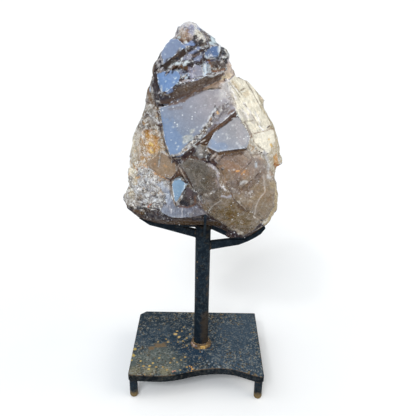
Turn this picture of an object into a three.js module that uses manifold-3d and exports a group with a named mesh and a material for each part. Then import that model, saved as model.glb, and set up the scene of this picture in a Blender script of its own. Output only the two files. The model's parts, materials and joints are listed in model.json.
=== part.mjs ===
// Smoky quartz crystal resting in the cradle of a welded iron stand.
// Millimetres, +Z up, front of the crystal towards -Y.
import * as THREE from 'three';
import { ConvexGeometry } from 'three/addons/geometries/ConvexGeometry.js';
import { mergeVertices } from 'three/addons/utils/BufferGeometryUtils.js';
import Module from 'manifold-3d';

const wasm = await Module();
wasm.setup();

// ---------- driving dimensions ----------

const GAP = 0.3;                 // clearance between a piece and the neighbour that it is cut to

const PLATE_WIDTH = 200;
const PLATE_DEPTH = 160;
const PLATE_THICKNESS = 12;
const PLATE_LEFT = -106;         // measured from the post's axis, which is not in the middle
const PLATE_FRONT = -74;

const FOOT_DIAMETER = 12;
const FOOT_LENGTH = 32;
const FOOT_INSET = 7;            // foot axis to the plate's edges

const POST_DIAMETER = 22;
const POST_LENGTH = 211.5;
const BEAD_LEG = 6;              // the weld bead at the post's foot

const BAR_DEPTH = 6.5;           // cradle bars, front to back
const PRONG_WIDTH = 3;           // front and back prongs, left to right
const PRONG_ASIDE = 2;           // the prongs stand this far to the right of the post's axis

const PLATE_TOP = FOOT_LENGTH + PLATE_THICKNESS;
const SEAT = PLATE_TOP + 209;    // height at which the crystal's underside meets the post

// ---------- solids ----------

// The closed solid of a three.js geometry, ready for a cut or a join.
function solid(geometry) {
  const bare = geometry.clone();
  for (const name of Object.keys(bare.attributes)) {
    if (name !== 'position') bare.deleteAttribute(name);
  }
  const merged = mergeVertices(bare, 1e-3);
  const mesh = new wasm.Mesh({
    numProp: 3,
    vertProperties: new Float32Array(merged.attributes.position.array),
    triVerts: new Uint32Array(merged.index.array),
  });
  return new wasm.Manifold(mesh);
}

// The three.js geometry of a joined or cut solid.
function geometryOf(manifold) {
  const mesh = manifold.getMesh();
  const geometry = new THREE.BufferGeometry();
  geometry.setAttribute('position', new THREE.BufferAttribute(mesh.vertProperties, 3));
  geometry.setIndex(new THREE.BufferAttribute(mesh.triVerts, 1));
  return geometry;
}

// The convex block round a few corner points [x, y, z].
function block(...corners) {
  return solid(new ConvexGeometry(corners.map((corner) => new THREE.Vector3(...corner))));
}

// Turns a face's own frame (across, up the slope, outwards) into the crystal's frame. A bearing of 0
// looks to the front, 90 to the right; a lean of 0 is upright, and a positive one leans back.
function faceFrame({ at, bearing, lean }) {
  const turn = THREE.MathUtils.degToRad(bearing);
  const tip = THREE.MathUtils.degToRad(lean);
  const outwards = new THREE.Vector3(
    Math.sin(turn) * Math.cos(tip),
    -Math.cos(turn) * Math.cos(tip),
    Math.sin(tip),
  );
  const across = new THREE.Vector3(Math.cos(turn), Math.sin(turn), 0);
  const upSlope = new THREE.Vector3().crossVectors(outwards, across);
  return new THREE.Matrix4().makeBasis(across, upSlope, outwards).setPosition(...at);
}

// One flat crystal face with the broken steps round it. The outline lies on the face; the block
// behind it is `thick` deep, `flare` times wider, and `rise` further up the slope, so that a rise
// leaves the lower edge undercut.
function shingle({ at, bearing, lean, outline, thick = 16, flare = 1.15, rise = 0 }) {
  const middle = outline.reduce(([u, v], [a, b]) => [u + a / outline.length, v + b / outline.length],
    [0, 0]);
  const front = outline.map(([u, v]) => new THREE.Vector3(u, v, 0));
  const back = outline.map(([u, v]) => new THREE.Vector3(
    middle[0] + (u - middle[0]) * flare,
    middle[1] + (v - middle[1]) * flare + rise,
    -thick,
  ));
  const geometry = new ConvexGeometry([...front, ...back]);
  return solid(geometry.applyMatrix4(faceFrame({ at, bearing, lean })));
}

// Repeatable numbers from 0 to 1, for what broke at random.
function seeded(seed) {
  let state = seed;
  return () => {
    state = (state * 1664525 + 1013904223) % 4294967296;
    return state / 4294967296;
  };
}

const joined = (solids) => wasm.Manifold.union(solids);

// ---------- the crystal: body ----------

// Level sections through the body: height, left and right edge, front and back. Each is an
// eight-sided outline whose corners are cut, and the body is the skin from each to the next.
const SECTIONS = [
  { z: 3, left: -72, right: 46, front: -8, back: 10 },
  { z: 11, left: -92, right: 82, front: -25, back: 28 },
  { z: 30, left: -108, right: 103, front: -52, back: 46 },
  { z: 55, left: -104, right: 103, front: -62, back: 58 },
  { z: 78, left: -101, right: 96, front: -62, back: 63 },
  { z: 104, left: -99, right: 99, front: -61, back: 66 },
  { z: 132, left: -96, right: 97, front: -60, back: 66 },
  { z: 148, left: -88, right: 91, front: -54, back: 62 },
  { z: 174, left: -78, right: 74, front: -44, back: 52 },
  { z: 196, left: -70, right: 62, front: -38, back: 42 },
  { z: 206, left: -62, right: 52, front: -34, back: 34 },
];
const CORNER = 0.42;             // share of the half width that a section's cut corners take

function section({ z, left, right, front, back }) {
  const cut = (right - left) / 2 * CORNER;
  const middle = (front + back) / 2;
  const flank = (back - front) * 0.12;
  return [
    [left, middle - flank, z], [left + cut, front, z], [right - cut, front, z],
    [right, middle - flank, z], [right, middle + flank, z], [right - cut, back, z],
    [left + cut, back, z], [left, middle + flank, z],
  ];
}

const body = SECTIONS.slice(1).map((upper, index) =>
  block(...section(SECTIONS[index]), ...section(upper)));

// The heavy toe on the lower right, which hangs below the seat, the cheek beside the crown's foot and
// the lip on the lower left.
const toe = block(
  [16, -8, 1], [57, -6, -18], [66, -4, -15], [84, -2, -2], [94, 0, 12], [98, -30, 34],
  [16, 8, 2], [57, 8, -16], [70, 14, -6], [92, 20, 20], [70, 46, 40], [30, 44, 32],
  [20, -50, 34], [54, -52, 10], [74, -46, 16], [60, -66, 50], [20, -66, 60],
);
const cheek = block(
  [-80, -6, 176], [-76, -8, 194], [-69, -20, 201], [-65, -30, 192], [-66, -32, 176], [-70, 12, 196],
  [-50, 4, 204], [-50, -20, 204], [-76, 12, 178],
);
const lip = block(
  [-112, -6, 38], [-108, -4, 29], [-90, -4, 11], [-100, -38, 38], [-84, -48, 36], [-70, -40, 22],
  [-104, 26, 40], [-88, 34, 26], [-106, -20, 58], [-104, 12, 62], [-70, -30, 80], [-66, 30, 80],
);

// ---------- the crystal: crown ----------

// The dark crown: its rim sweeps up from left to right above the body's faces.
const crown = [
  block(
    [-61, -40, 178], [-48, -47, 183], [-36, -52, 189], [-19, -54, 195], [-3, -53, 203], [11, -46, 209],
    [25, -36, 214], [-59, -46, 194], [-46, -57, 198], [-29, -61, 210], [-11, -62, 213], [-1, -59, 218],
    [10, -53, 221], [21, -42, 221], [36, 0, 214], [-76, -2, 189], [-68, 24, 196], [-30, 40, 200],
    [20, 34, 206], [-70, 0, 208], [32, 0, 226], [-56, 24, 214], [18, 24, 226],
  ),
  block(
    [-68, 0, 218], [-63, -30, 210], [-45, -47, 210], [-10, -51, 220], [14, -42, 224], [30, -12, 226],
    [26, 8, 236], [-58, 0, 238], [-51, -24, 236], [-40, -28, 244], [-14, -34, 246], [8, -28, 246],
    [18, -6, 246], [-42, 0, 256], [-34, -16, 256], [8, -6, 255], [-30, 26, 236], [10, 22, 238],
    [-58, 14, 222], [20, 22, 226],
  ),
  block(
    [-44, -6, 250], [-37, 0, 268], [-28, -8, 271], [-22, 2, 273], [-12, 0, 269], [0, -4, 262],
    [12, 0, 254], [10, -16, 250], [-10, -22, 256], [-30, -20, 258], [-30, 16, 252], [4, 12, 250],
  ),
];

const CROWN_FACES = {
  knob: { at: [-17, -22, 262], bearing: -4, lean: 48, flare: 1.3, rise: -2,
    outline: [[-14, -1], [-11, 9], [3, 9], [14, -1], [17, -11], [6, -14], [-5, -12]] },
  tallLeft: { at: [-41, -37, 245], bearing: -28, lean: 36, thick: 14, flare: 1.05, rise: -3,
    outline: [[-6, 14], [3, 14], [17, 4], [9, -3], [-5, -21], [-14, -7], [-11, 6]] },
  lowLeft: { at: [-44, -55, 212], bearing: -22, lean: 26, thick: 14, flare: 1.05, rise: -4,
    outline: [[-17, 6], [-5, 12], [9, 12], [14, 6], [13, -2], [1, -14], [-7, -15], [-13, -6]] },
  right: { at: [6, -40, 243], bearing: 14, lean: 30, thick: 12, flare: 1.1, rise: -2,
    outline: [[-10, -1], [-1, 7], [9, 8], [11, 2], [7, -5], [-8, -8]] },
  middle: { at: [-13, -57, 223], bearing: -2, lean: 18, thick: 12, flare: 1.15, rise: -3,
    outline: [[-10, 0], [-1, 8], [7, 7], [10, -7], [2, -9], [-9, -6]] },
  lowRight: { at: [11, -47, 228], bearing: 22, lean: 14, thick: 10, flare: 1.2,
    outline: [[-10, 4], [6, 8], [14, 2], [15, -5], [7, -6], [-10, -9]] },
  saddle: { at: [-21, -51, 238], bearing: -8, lean: 30, thick: 12, flare: 1.15, rise: -3,
    outline: [[-9, -5], [-4, 5], [8, 12], [14, 4], [12, -3], [2, -7], [-6, -10]] },
};

// Thin parallel plates that step down the crown from upper right to lower left.
const SLIVER_ROWS = [
  { from: [-54, -42, 228], to: [-8, -30, 256], count: 5, length: 17, lean: 34 },
  { from: [-40, -49, 226], to: [4, -34, 248], count: 5, length: 14, lean: 30 },
  { from: [-30, -53, 214], to: [20, -40, 236], count: 6, length: 11, lean: 22 },
];

function sliverRow({ from, to, count, length, lean }, random) {
  const start = new THREE.Vector3(...from);
  const end = new THREE.Vector3(...to);
  const plates = [];
  for (let index = 0; index < count; index += 1) {
    const at = start.clone().lerp(end, (index + random() * 0.6) / count);
    const half = length * (0.4 + 0.25 * random());
    const width = 2.2 + 2.2 * random();
    const slope = 0.45 + 0.3 * random();
    plates.push(shingle({
      at: [at.x, at.y, at.z],
      bearing: -24 + 44 * random(),
      lean: lean - 10 + 20 * random(),
      thick: 9,
      flare: 1.35,
      outline: [[-half, -half * slope - width], [-half * 0.7, -half * slope + width],
        [half * 0.9, half * slope + width], [half, half * slope - width * 0.4]],
    }));
  }
  return plates;
}

// ---------- the crystal: body faces ----------

const BODY_FACES = {
  great: { at: [-16, -64, 161], bearing: -8, lean: 25, thick: 22, flare: 1.0, rise: -10,
    outline: [[-42, 19], [-22, 24], [-5, 33], [11, 43], [32, 47], [38, 38], [52, 21], [40, 11], [18, -3],
      [7, -18], [-6, -33], [-11, -37], [-24, -38], [-32, -20]] },
  second: { at: [28, -64, 152], bearing: 6, lean: 20, thick: 20, flare: 1.0, rise: -8,
    outline: [[9, 27], [17, 14], [27, -4], [23, -17], [-14, -22], [-27, -15], [-25, -9], [-8, 11],
      [1, 23]] },
  bridge: { at: [-2, -73, 131], bearing: -4, lean: 28, thick: 14, flare: 1.3,
    outline: [[-6, 9], [3, 7], [7, 0], [4, -8], [-8, -6], [-15, -4]] },
  shoulder: { at: [45, -50, 175], bearing: 45, lean: 24, thick: 26, flare: 1.05,
    outline: [[-13, 38], [4, 46], [27, 35], [34, 27], [39, 2], [48, -23], [5, -31], [-5, -12], [-11, 5],
      [-14, 23]] },
  underShoulder: { at: [71, -45, 138], bearing: 36, lean: 10, thick: 22, flare: 1.15,
    outline: [[-16, 7], [21, 14], [24, -4], [12, -19], [-1, -12], [-18, -4]] },
  rightMass: { at: [58, -62, 79], bearing: 18, lean: 2, thick: 24, flare: 1.12,
    outline: [[-38, 34], [-7, 46], [18, 40], [34, 17], [37, -5], [36, -26], [25, -48], [9, -37],
      [-13, -16], [-26, 0], [-34, 18]] },
  kneecap: { at: [33, -69, 121], bearing: 8, lean: 6, thick: 16, flare: 1.2,
    outline: [[-27, 4], [-12, 4], [5, 2], [22, 11], [25, -1], [10, -15], [-12, -12]] },
  olive: { at: [-5, -71, 97], bearing: -4, lean: 8, thick: 20, flare: 1.12,
    outline: [[-26, 17], [-18, 24], [2, 22], [19, 8], [28, -14], [18, -27], [2, -25], [-5, -20],
      [-13, -5]] },
  toeFront: { at: [28, -69, 52], bearing: 6, lean: -14, thick: 22, flare: 1.1,
    outline: [[-33, 24], [-17, 27], [-2, 34], [17, 12], [48, -22], [30, -42], [7, -30], [-14, -14],
      [-29, 1]] },
  amber: { at: [-54, -62, 109], bearing: -22, lean: 6, thick: 18, flare: 1.1, rise: -4,
    outline: [[-20, 3], [-4, 16], [4, 17], [19, 7], [22, -6], [13, -16], [-4, -13], [-23, -3]] },
  striated: { at: [-30, -69, 64], bearing: -12, lean: 18, thick: 20, flare: 1.1, rise: -5,
    outline: [[-30, 28], [-17, 25], [-13, 5], [14, -5], [34, -8], [34, -13], [14, -19], [-9, -22],
      [-25, -16]] },
  kite: { at: [-30, -78, 84], bearing: 6, lean: 34, thick: 20, flare: 1.1, rise: -3,
    outline: [[1, 15], [8, 8], [7, 2], [-4, -16], [-7, -14], [-10, 7], [-7, 12]] },
  pocket: { at: [-18, -73, 70], bearing: -10, lean: 0, thick: 16, flare: 1.2,
    outline: [[-3, 16], [9, 9], [14, -4], [1, -12], [-14, -9]] },
  golden: { at: [-69, -44, 134], bearing: -40, lean: 8, thick: 16, flare: 1.2,
    outline: [[-19, 12], [-2, 22], [15, 18], [20, -1], [12, -15], [-8, -22], [-22, -12]] },
  greyCheek: { at: [-66, -40, 167], bearing: -36, lean: 16, thick: 16, flare: 1.2,
    outline: [[-15, 8], [-4, 17], [11, 10], [17, -8], [3, -14], [-17, -14]] },
  lowerCheek: { at: [-79, -53, 73], bearing: -34, lean: 2, thick: 16, flare: 1.15,
    outline: [[-15, 26], [7, 32], [26, 22], [28, -1], [28, -20], [10, -22], [-14, -27], [-26, -19],
      [-22, 2]] },
  // flanks and back, which broke along the same stepped planes
  rightFlank: { at: [97, 16, 116], bearing: 104, lean: 10, thick: 18, flare: 1.25, rise: -4,
    outline: [[-16, -20], [-22, 4], [-10, 24], [14, 22], [22, -4], [12, -24]] },
  leftFlank: { at: [-97, 16, 104], bearing: -104, lean: 8, thick: 18, flare: 1.25, rise: -4,
    outline: [[-24, -28], [-26, 6], [-8, 30], [16, 20], [22, -10], [8, -30]] },
  backGreat: { at: [-14, 70, 118], bearing: 172, lean: 14, thick: 22, flare: 1.08, rise: 6,
    outline: [[-38, -26], [-42, 12], [-20, 40], [16, 44], [34, 16], [30, -24], [2, -40]] },
  backLow: { at: [34, 60, 58], bearing: 160, lean: -8, thick: 20, flare: 1.12,
    outline: [[-34, -14], [-30, 18], [4, 28], [32, 12], [28, -16], [-4, -26]] },
  backLeft: { at: [-56, 54, 92], bearing: 214, lean: 4, thick: 20, flare: 1.12,
    outline: [[-26, -30], [-28, 10], [-4, 34], [24, 22], [26, -18], [4, -38]] },
  backRight: { at: [56, 52, 136], bearing: 140, lean: 18, thick: 20, flare: 1.1, rise: 4,
    outline: [[-24, -26], [-26, 14], [0, 32], [24, 14], [22, -20]] },
  backCrown: { at: [-16, 38, 216], bearing: 178, lean: 34, thick: 14, flare: 1.1, rise: 3,
    outline: [[-28, -14], [-24, 12], [-2, 24], [22, 10], [26, -12], [2, -20]] },
};

// Broken steps all round the flanks and the back: low irregular plates on the body's skin.
const STEP_ROWS = [
  { z: 34, first: 112, last: 248, count: 5 },
  { z: 62, first: 104, last: 260, count: 6 },
  { z: 92, first: 108, last: 260, count: 6 },
  { z: 122, first: 100, last: 264, count: 6 },
  { z: 152, first: 106, last: 254, count: 6 },
  { z: 182, first: 104, last: 252, count: 5 },
];
const STEP_SIZE = [12, 25];
const STEP_PROUD = 3;            // how far a step can stand off the skin

// The edges of the body's skin at a height between two sections.
function skinAt(z) {
  const upper = SECTIONS.findIndex((row) => row.z >= z);
  const [low, high] = [SECTIONS[upper - 1], SECTIONS[upper]];
  const share = (z - low.z) / (high.z - low.z);
  const between = (key) => THREE.MathUtils.lerp(low[key], high[key], share);
  const slope = (key) => (high[key] - low[key]) / (high.z - low.z);
  return { left: between('left'), right: between('right'), front: between('front'),
    back: between('back'), backSlope: slope('back'), sideSlope: slope('right') };
}

function stepRow({ z, first, last, count }, random) {
  const skin = skinAt(z);
  const halfWidth = (skin.right - skin.left) / 2;
  const halfDepth = (skin.back - skin.front) / 2;
  const steps = [];
  for (let index = 0; index < count; index += 1) {
    const round = first + (last - first) * (index + 0.5 * random()) / (count - 0.5);
    const angle = THREE.MathUtils.degToRad(round);
    const outX = Math.sin(angle) * halfDepth;
    const outY = -Math.cos(angle) * halfWidth;
    const size = STEP_SIZE[0] + (STEP_SIZE[1] - STEP_SIZE[0]) * random();
    const sides = 5 + Math.floor(random() * 3);
    const slope = Math.abs(Math.cos(angle)) * skin.backSlope + Math.abs(Math.sin(angle)) * skin.sideSlope;
    const outline = [];
    for (let corner = 0; corner < sides; corner += 1) {
      const spin = (corner + 0.5 * random()) / sides * Math.PI * 2;
      const reach = size * (0.7 + 0.5 * random());
      outline.push([Math.cos(spin) * reach, Math.sin(spin) * reach * 1.25]);
    }
    const reachOut = 0.94 + STEP_PROUD / halfDepth * random();
    steps.push(shingle({
      at: [
        (skin.left + skin.right) / 2 + Math.sin(angle) * halfWidth * reachOut,
        (skin.front + skin.back) / 2 - Math.cos(angle) * halfDepth * reachOut,
        z + 10 * (random() - 0.5),
      ],
      bearing: THREE.MathUtils.radToDeg(Math.atan2(outX, -outY)) + 16 * (random() - 0.5),
      lean: THREE.MathUtils.radToDeg(Math.atan(-slope)) + 14 * (random() - 0.5),
      thick: 14,
      flare: 1.2,
      rise: -3,
      outline,
    }));
  }
  return steps;
}

// Small rounded knobs that stand off the silhouette.
const KNOBS = [
  { at: [99, -2, 101], radii: [8, 9, 10] },
  { at: [-106, -2, 40], radii: [8, 16, 8] },
  { at: [-22, -3, 258], radii: [16, 17, 17] },
  { at: [15, -14, 235], radii: [13, 16, 13] },
];

function knob({ at, radii }) {
  const ball = new THREE.IcosahedronGeometry(1, 1);
  return solid(ball.scale(...radii).rotateZ(0.4).translate(...at));
}

// Broken quartz grains on the left cheek and the crown's right edge: small tilted prisms.
const GRAIN_FIELDS = [
  { seed: 11, count: 34, left: [-98, -36], right: [-50, -68], bottom: 46, top: 98, size: [4, 8] },
  { seed: 23, count: 12, left: [-74, -28], right: [-50, -44], bottom: 152, top: 176, size: [4, 7] },
  { seed: 37, count: 10, left: [8, -34], right: [22, -14], bottom: 222, top: 246, size: [3, 5] },
];

function grains({ seed, count, left, right, bottom, top, size }) {
  const random = seeded(seed);
  const prisms = [];
  for (let index = 0; index < count; index += 1) {
    const along = random();
    const radius = size[0] + (size[1] - size[0]) * random();
    const prism = new THREE.CylinderGeometry(radius * 0.35, radius, radius * 2.2, 5 + (index % 2));
    prism.rotateX(random() * Math.PI).rotateY(random() * Math.PI).rotateZ(random() * Math.PI);
    prism.translate(
      left[0] + (right[0] - left[0]) * along,
      left[1] + (right[1] - left[1]) * along,
      bottom + (top - bottom) * random(),
    );
    prisms.push(solid(prism));
  }
  return prisms;
}

function crystal() {
  const random = seeded(5);
  return joined([
    ...body,
    toe,
    cheek,
    lip,
    ...crown,
    ...Object.values(CROWN_FACES).map(shingle),
    ...SLIVER_ROWS.flatMap((row) => sliverRow(row, random)),
    ...Object.values(BODY_FACES).map(shingle),
    ...STEP_ROWS.flatMap((row) => stepRow(row, random)),
    ...KNOBS.map(knob),
    ...GRAIN_FIELDS.flatMap(grains),
  ]);
}

// ---------- the stand ----------

// The plate is flame-cut: the front edge bulges a little on the left and swings in on the right,
// and the back left corner is clipped.
function basePlate() {
  const right = PLATE_LEFT + PLATE_WIDTH;
  const back = PLATE_FRONT + PLATE_DEPTH;
  const outline = new THREE.Shape();
  outline.moveTo(PLATE_LEFT, PLATE_FRONT + 3);
  outline.lineTo(PLATE_LEFT + 3, PLATE_FRONT);
  outline.lineTo(-72, PLATE_FRONT - 1);
  outline.bezierCurveTo(-36, PLATE_FRONT - 3, -20, PLATE_FRONT + 10, 2, PLATE_FRONT + 14);
  outline.bezierCurveTo(18, PLATE_FRONT + 18, 36, PLATE_FRONT + 18, 50, PLATE_FRONT + 15);
  outline.bezierCurveTo(64, PLATE_FRONT + 11, 76, PLATE_FRONT + 3, right - 4, PLATE_FRONT);
  outline.lineTo(right, PLATE_FRONT + 3);
  outline.lineTo(right, back);
  outline.lineTo(PLATE_LEFT + 10, back);
  outline.lineTo(PLATE_LEFT, back - 9);
  outline.closePath();
  const plate = new THREE.ExtrudeGeometry(outline, {
    depth: PLATE_THICKNESS, bevelEnabled: false, curveSegments: 8,
  });
  return plate.translate(0, 0, FOOT_LENGTH);
}

// A solid of revolution about Z from [radius, height] points that start and end on the axis.
function turned(profile, sides) {
  const points = profile.map(([radius, height]) => new THREE.Vector2(radius, height));
  return new THREE.LatheGeometry(points, sides).rotateX(Math.PI / 2);
}

function foot() {
  const radius = FOOT_DIAMETER / 2;
  return turned([[0, 0], [radius - 2.5, 0], [radius - 0.8, 1], [radius, 3.2], [radius, FOOT_LENGTH],
    [0, FOOT_LENGTH]], 20);
}

function post() {
  const radius = POST_DIAMETER / 2;
  return turned([[0, 0], [radius, 0], [radius, POST_LENGTH], [0, POST_LENGTH]], 32)
    .translate(0, 0, PLATE_TOP);
}

function postWeld() {
  const inner = POST_DIAMETER / 2 + GAP;
  const profile = [[inner, 0], [inner + BEAD_LEG, 0], [inner + BEAD_LEG * 0.9, 2],
    [inner + BEAD_LEG * 0.5, 4.2], [inner + 0.6, BEAD_LEG], [inner, BEAD_LEG], [inner, 0]];
  return turned(profile, 28).translate(0, 0, PLATE_TOP);
}

// ---------- the cradle ----------

// Bar outlines seen from the front, [x, height above the seat].
const LEFT_RAIL = [[-6, 10], [-6, -2], [-34, -2], [-34, 10]];
const LEFT_ARM = [[-6, -8], [-6, -18], [-12, -18], [-41, -10], [-62, -4], [-77, 0], [-91, 10],
  [-97, 16], [-92, 26], [-70, 20], [-35, 10], [-35, -2.4], [-30, -2.4]];
const RIGHT_RAIL = [[6, 10], [6, -2], [41, -18.5], [60, -20], [60, 0], [30, 10]];
const RIGHT_ARM = [[6, -26], [6, -37], [14, -37], [37, -32], [52, -29], [65, -23], [75, -17], [83, -11],
  [89, -2], [86, 8], [61, 0], [61, -21], [42, -20.5]];

// Prongs seen from the right, [distance in front of the post's axis, height above the seat].
const FRONT_PRONG = [[6, -14], [12, -14], [70, 32], [82, 42], [84, 52], [76, 52], [60, 50], [6, 6]];
const BACK_PRONG = [[6, -14], [12, -14], [40, 10], [58, 32], [66, 52], [60, 58], [50, 54], [6, 6]];

// The room that the crystal and the post take, each moved a little every way for clearance.
function keepClear(crystalSolid) {
  const moves = [[0, 0, -GAP], [GAP, 0, 0], [-GAP, 0, 0], [0, GAP, 0], [0, -GAP, 0]];
  const postRoom = new THREE.CylinderGeometry(POST_DIAMETER / 2 + GAP, POST_DIAMETER / 2 + GAP, 120, 32)
    .rotateX(Math.PI / 2);
  return joined([...moves.map((move) => crystalSolid.translate(move)), solid(postRoom)]);
}

const stone = crystal();
const room = keepClear(stone);

// A flat bar of the cradle: its outline stood upright, `width` across, and cut to its neighbours.
function bar(outline, width, turn = 0, aside = 0) {
  const shape = new THREE.Shape(outline.map(([along, height]) => new THREE.Vector2(along, height)));
  const blank = new THREE.ExtrudeGeometry(shape, { depth: width, bevelEnabled: false });
  blank.translate(0, 0, -width / 2).rotateX(Math.PI / 2).rotateZ(turn).translate(aside, 0, 0);
  const pieces = solid(blank).subtract(room).decompose();
  const largest = pieces.reduce((best, piece) => (piece.volume() > best.volume() ? piece : best));
  return geometryOf(largest);
}

// ---------- assembly ----------

const QUARTZ = new THREE.MeshStandardMaterial({ color: 0x6f665f, roughness: 0.3, metalness: 0 });
const IRON = new THREE.MeshStandardMaterial({ color: 0x1f252e, roughness: 0.55, metalness: 0.4 });
const WELD = new THREE.MeshStandardMaterial({ color: 0x7a6238, roughness: 0.6, metalness: 0.4 });

const group = new THREE.Group();

function add(name, geometry, material, place = [0, 0, 0]) {
  const mesh = new THREE.Mesh(geometry, material);
  mesh.name = name;
  mesh.position.set(...place);
  group.add(mesh);
}

add('smoky_quartz', geometryOf(stone), QUARTZ, [0, 0, SEAT]);
add('base_plate', basePlate(), IRON);
add('post', post(), IRON);
add('post_weld', postWeld(), WELD);

const footLeft = PLATE_LEFT + FOOT_INSET;
const footRight = PLATE_LEFT + PLATE_WIDTH - FOOT_INSET;
const footFront = PLATE_FRONT + FOOT_INSET;
const footBack = PLATE_FRONT + PLATE_DEPTH - FOOT_INSET;
add('foot_front_left', foot(), IRON, [footLeft, footFront, 0]);
add('foot_front_right', foot(), IRON, [footRight, footFront, 0]);
add('foot_back_left', foot(), IRON, [footLeft + 4, footBack, 0]);
add('foot_back_right', foot(), IRON, [footRight, footBack, 0]);

add('left_rail', bar(LEFT_RAIL, BAR_DEPTH), IRON, [0, 0, SEAT]);
add('left_arm', bar(LEFT_ARM, BAR_DEPTH), IRON, [0, 0, SEAT]);
add('right_rail', bar(RIGHT_RAIL, BAR_DEPTH), IRON, [0, 0, SEAT]);
add('right_arm', bar(RIGHT_ARM, BAR_DEPTH), IRON, [0, 0, SEAT]);
add('front_prong', bar(FRONT_PRONG, PRONG_WIDTH, -Math.PI / 2, PRONG_ASIDE), IRON, [0, 0, SEAT]);
add('back_prong', bar(BACK_PRONG, PRONG_WIDTH, Math.PI / 2, PRONG_ASIDE), IRON, [0, 0, SEAT]);

// The origin is under the middle of the whole, on the surface that the feet stand on.
const bounds = new THREE.Box3().setFromObject(group);
const centre = bounds.getCenter(new THREE.Vector3());
group.position.set(-centre.x, -centre.y, -bounds.min.z);

export default group;
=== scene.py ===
import json
import math
import random

import bmesh
import bpy
import numpy as np
from mathutils import Matrix, Vector, kdtree, noise
from mathutils.bvhtree import BVHTree

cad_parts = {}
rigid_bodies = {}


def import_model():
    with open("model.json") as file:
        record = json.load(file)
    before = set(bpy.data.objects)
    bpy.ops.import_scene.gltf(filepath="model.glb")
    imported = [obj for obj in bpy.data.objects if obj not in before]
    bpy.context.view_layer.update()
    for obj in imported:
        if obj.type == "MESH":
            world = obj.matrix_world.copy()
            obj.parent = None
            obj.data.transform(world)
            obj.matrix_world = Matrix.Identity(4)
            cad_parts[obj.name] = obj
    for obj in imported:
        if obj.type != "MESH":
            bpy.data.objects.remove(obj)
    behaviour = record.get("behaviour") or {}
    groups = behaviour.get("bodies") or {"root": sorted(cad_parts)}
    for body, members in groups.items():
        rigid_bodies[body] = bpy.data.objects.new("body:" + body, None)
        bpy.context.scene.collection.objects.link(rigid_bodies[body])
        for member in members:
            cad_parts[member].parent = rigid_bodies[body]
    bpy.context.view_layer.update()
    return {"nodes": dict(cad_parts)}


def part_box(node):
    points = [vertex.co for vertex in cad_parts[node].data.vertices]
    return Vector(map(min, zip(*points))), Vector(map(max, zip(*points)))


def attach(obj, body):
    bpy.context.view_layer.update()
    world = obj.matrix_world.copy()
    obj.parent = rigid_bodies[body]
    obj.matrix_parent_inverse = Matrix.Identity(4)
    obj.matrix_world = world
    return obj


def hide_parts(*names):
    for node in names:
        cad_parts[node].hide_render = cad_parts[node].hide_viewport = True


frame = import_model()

# ---------------------------------------------------------------- floor, light and camera
# The stand is set on a plain pale floor under soft daylight: cool lights from the front and from
# above to the left, a warm one from the right, and a pale surround that fills the shadows.
MM = 0.001
ROOT = "root"
FLOOR_RADIUS, FLOOR_SIDES = 500.0, 96
FLOOR_TONES = (0.86, 0.865, 0.87), (0.88, 0.882, 0.885)
SURROUND_STRENGTH = 0.40
CAMERA_FROM_POST = Vector((-0.0018, -0.6490, 0.5142))
CAMERA_YAW, CAMERA_PITCH, CAMERA_ROLL = (math.radians(a) for a in (0.70, 23.21, 1.42))
LENS_MM, SENSOR_MM = 43.27, 36.0
CLIP_NEAR, CLIP_FAR = 0.01, 600
FACING, PLACE = 1, 3

post_low, post_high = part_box("post")
post_foot = Vector(((post_low.x + post_high.x) / 2, (post_low.y + post_high.y) / 2, post_low.z))


def light_rgb(red, green, blue):
    """Turns a colour as it looks, 0 to 255, into the linear light that Blender works in."""
    shares = (c / 255 for c in (red, green, blue))
    return tuple(c / 12.92 if c <= 0.04045 else ((c + 0.055) / 1.055) ** 2.4 for c in shares)


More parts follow.
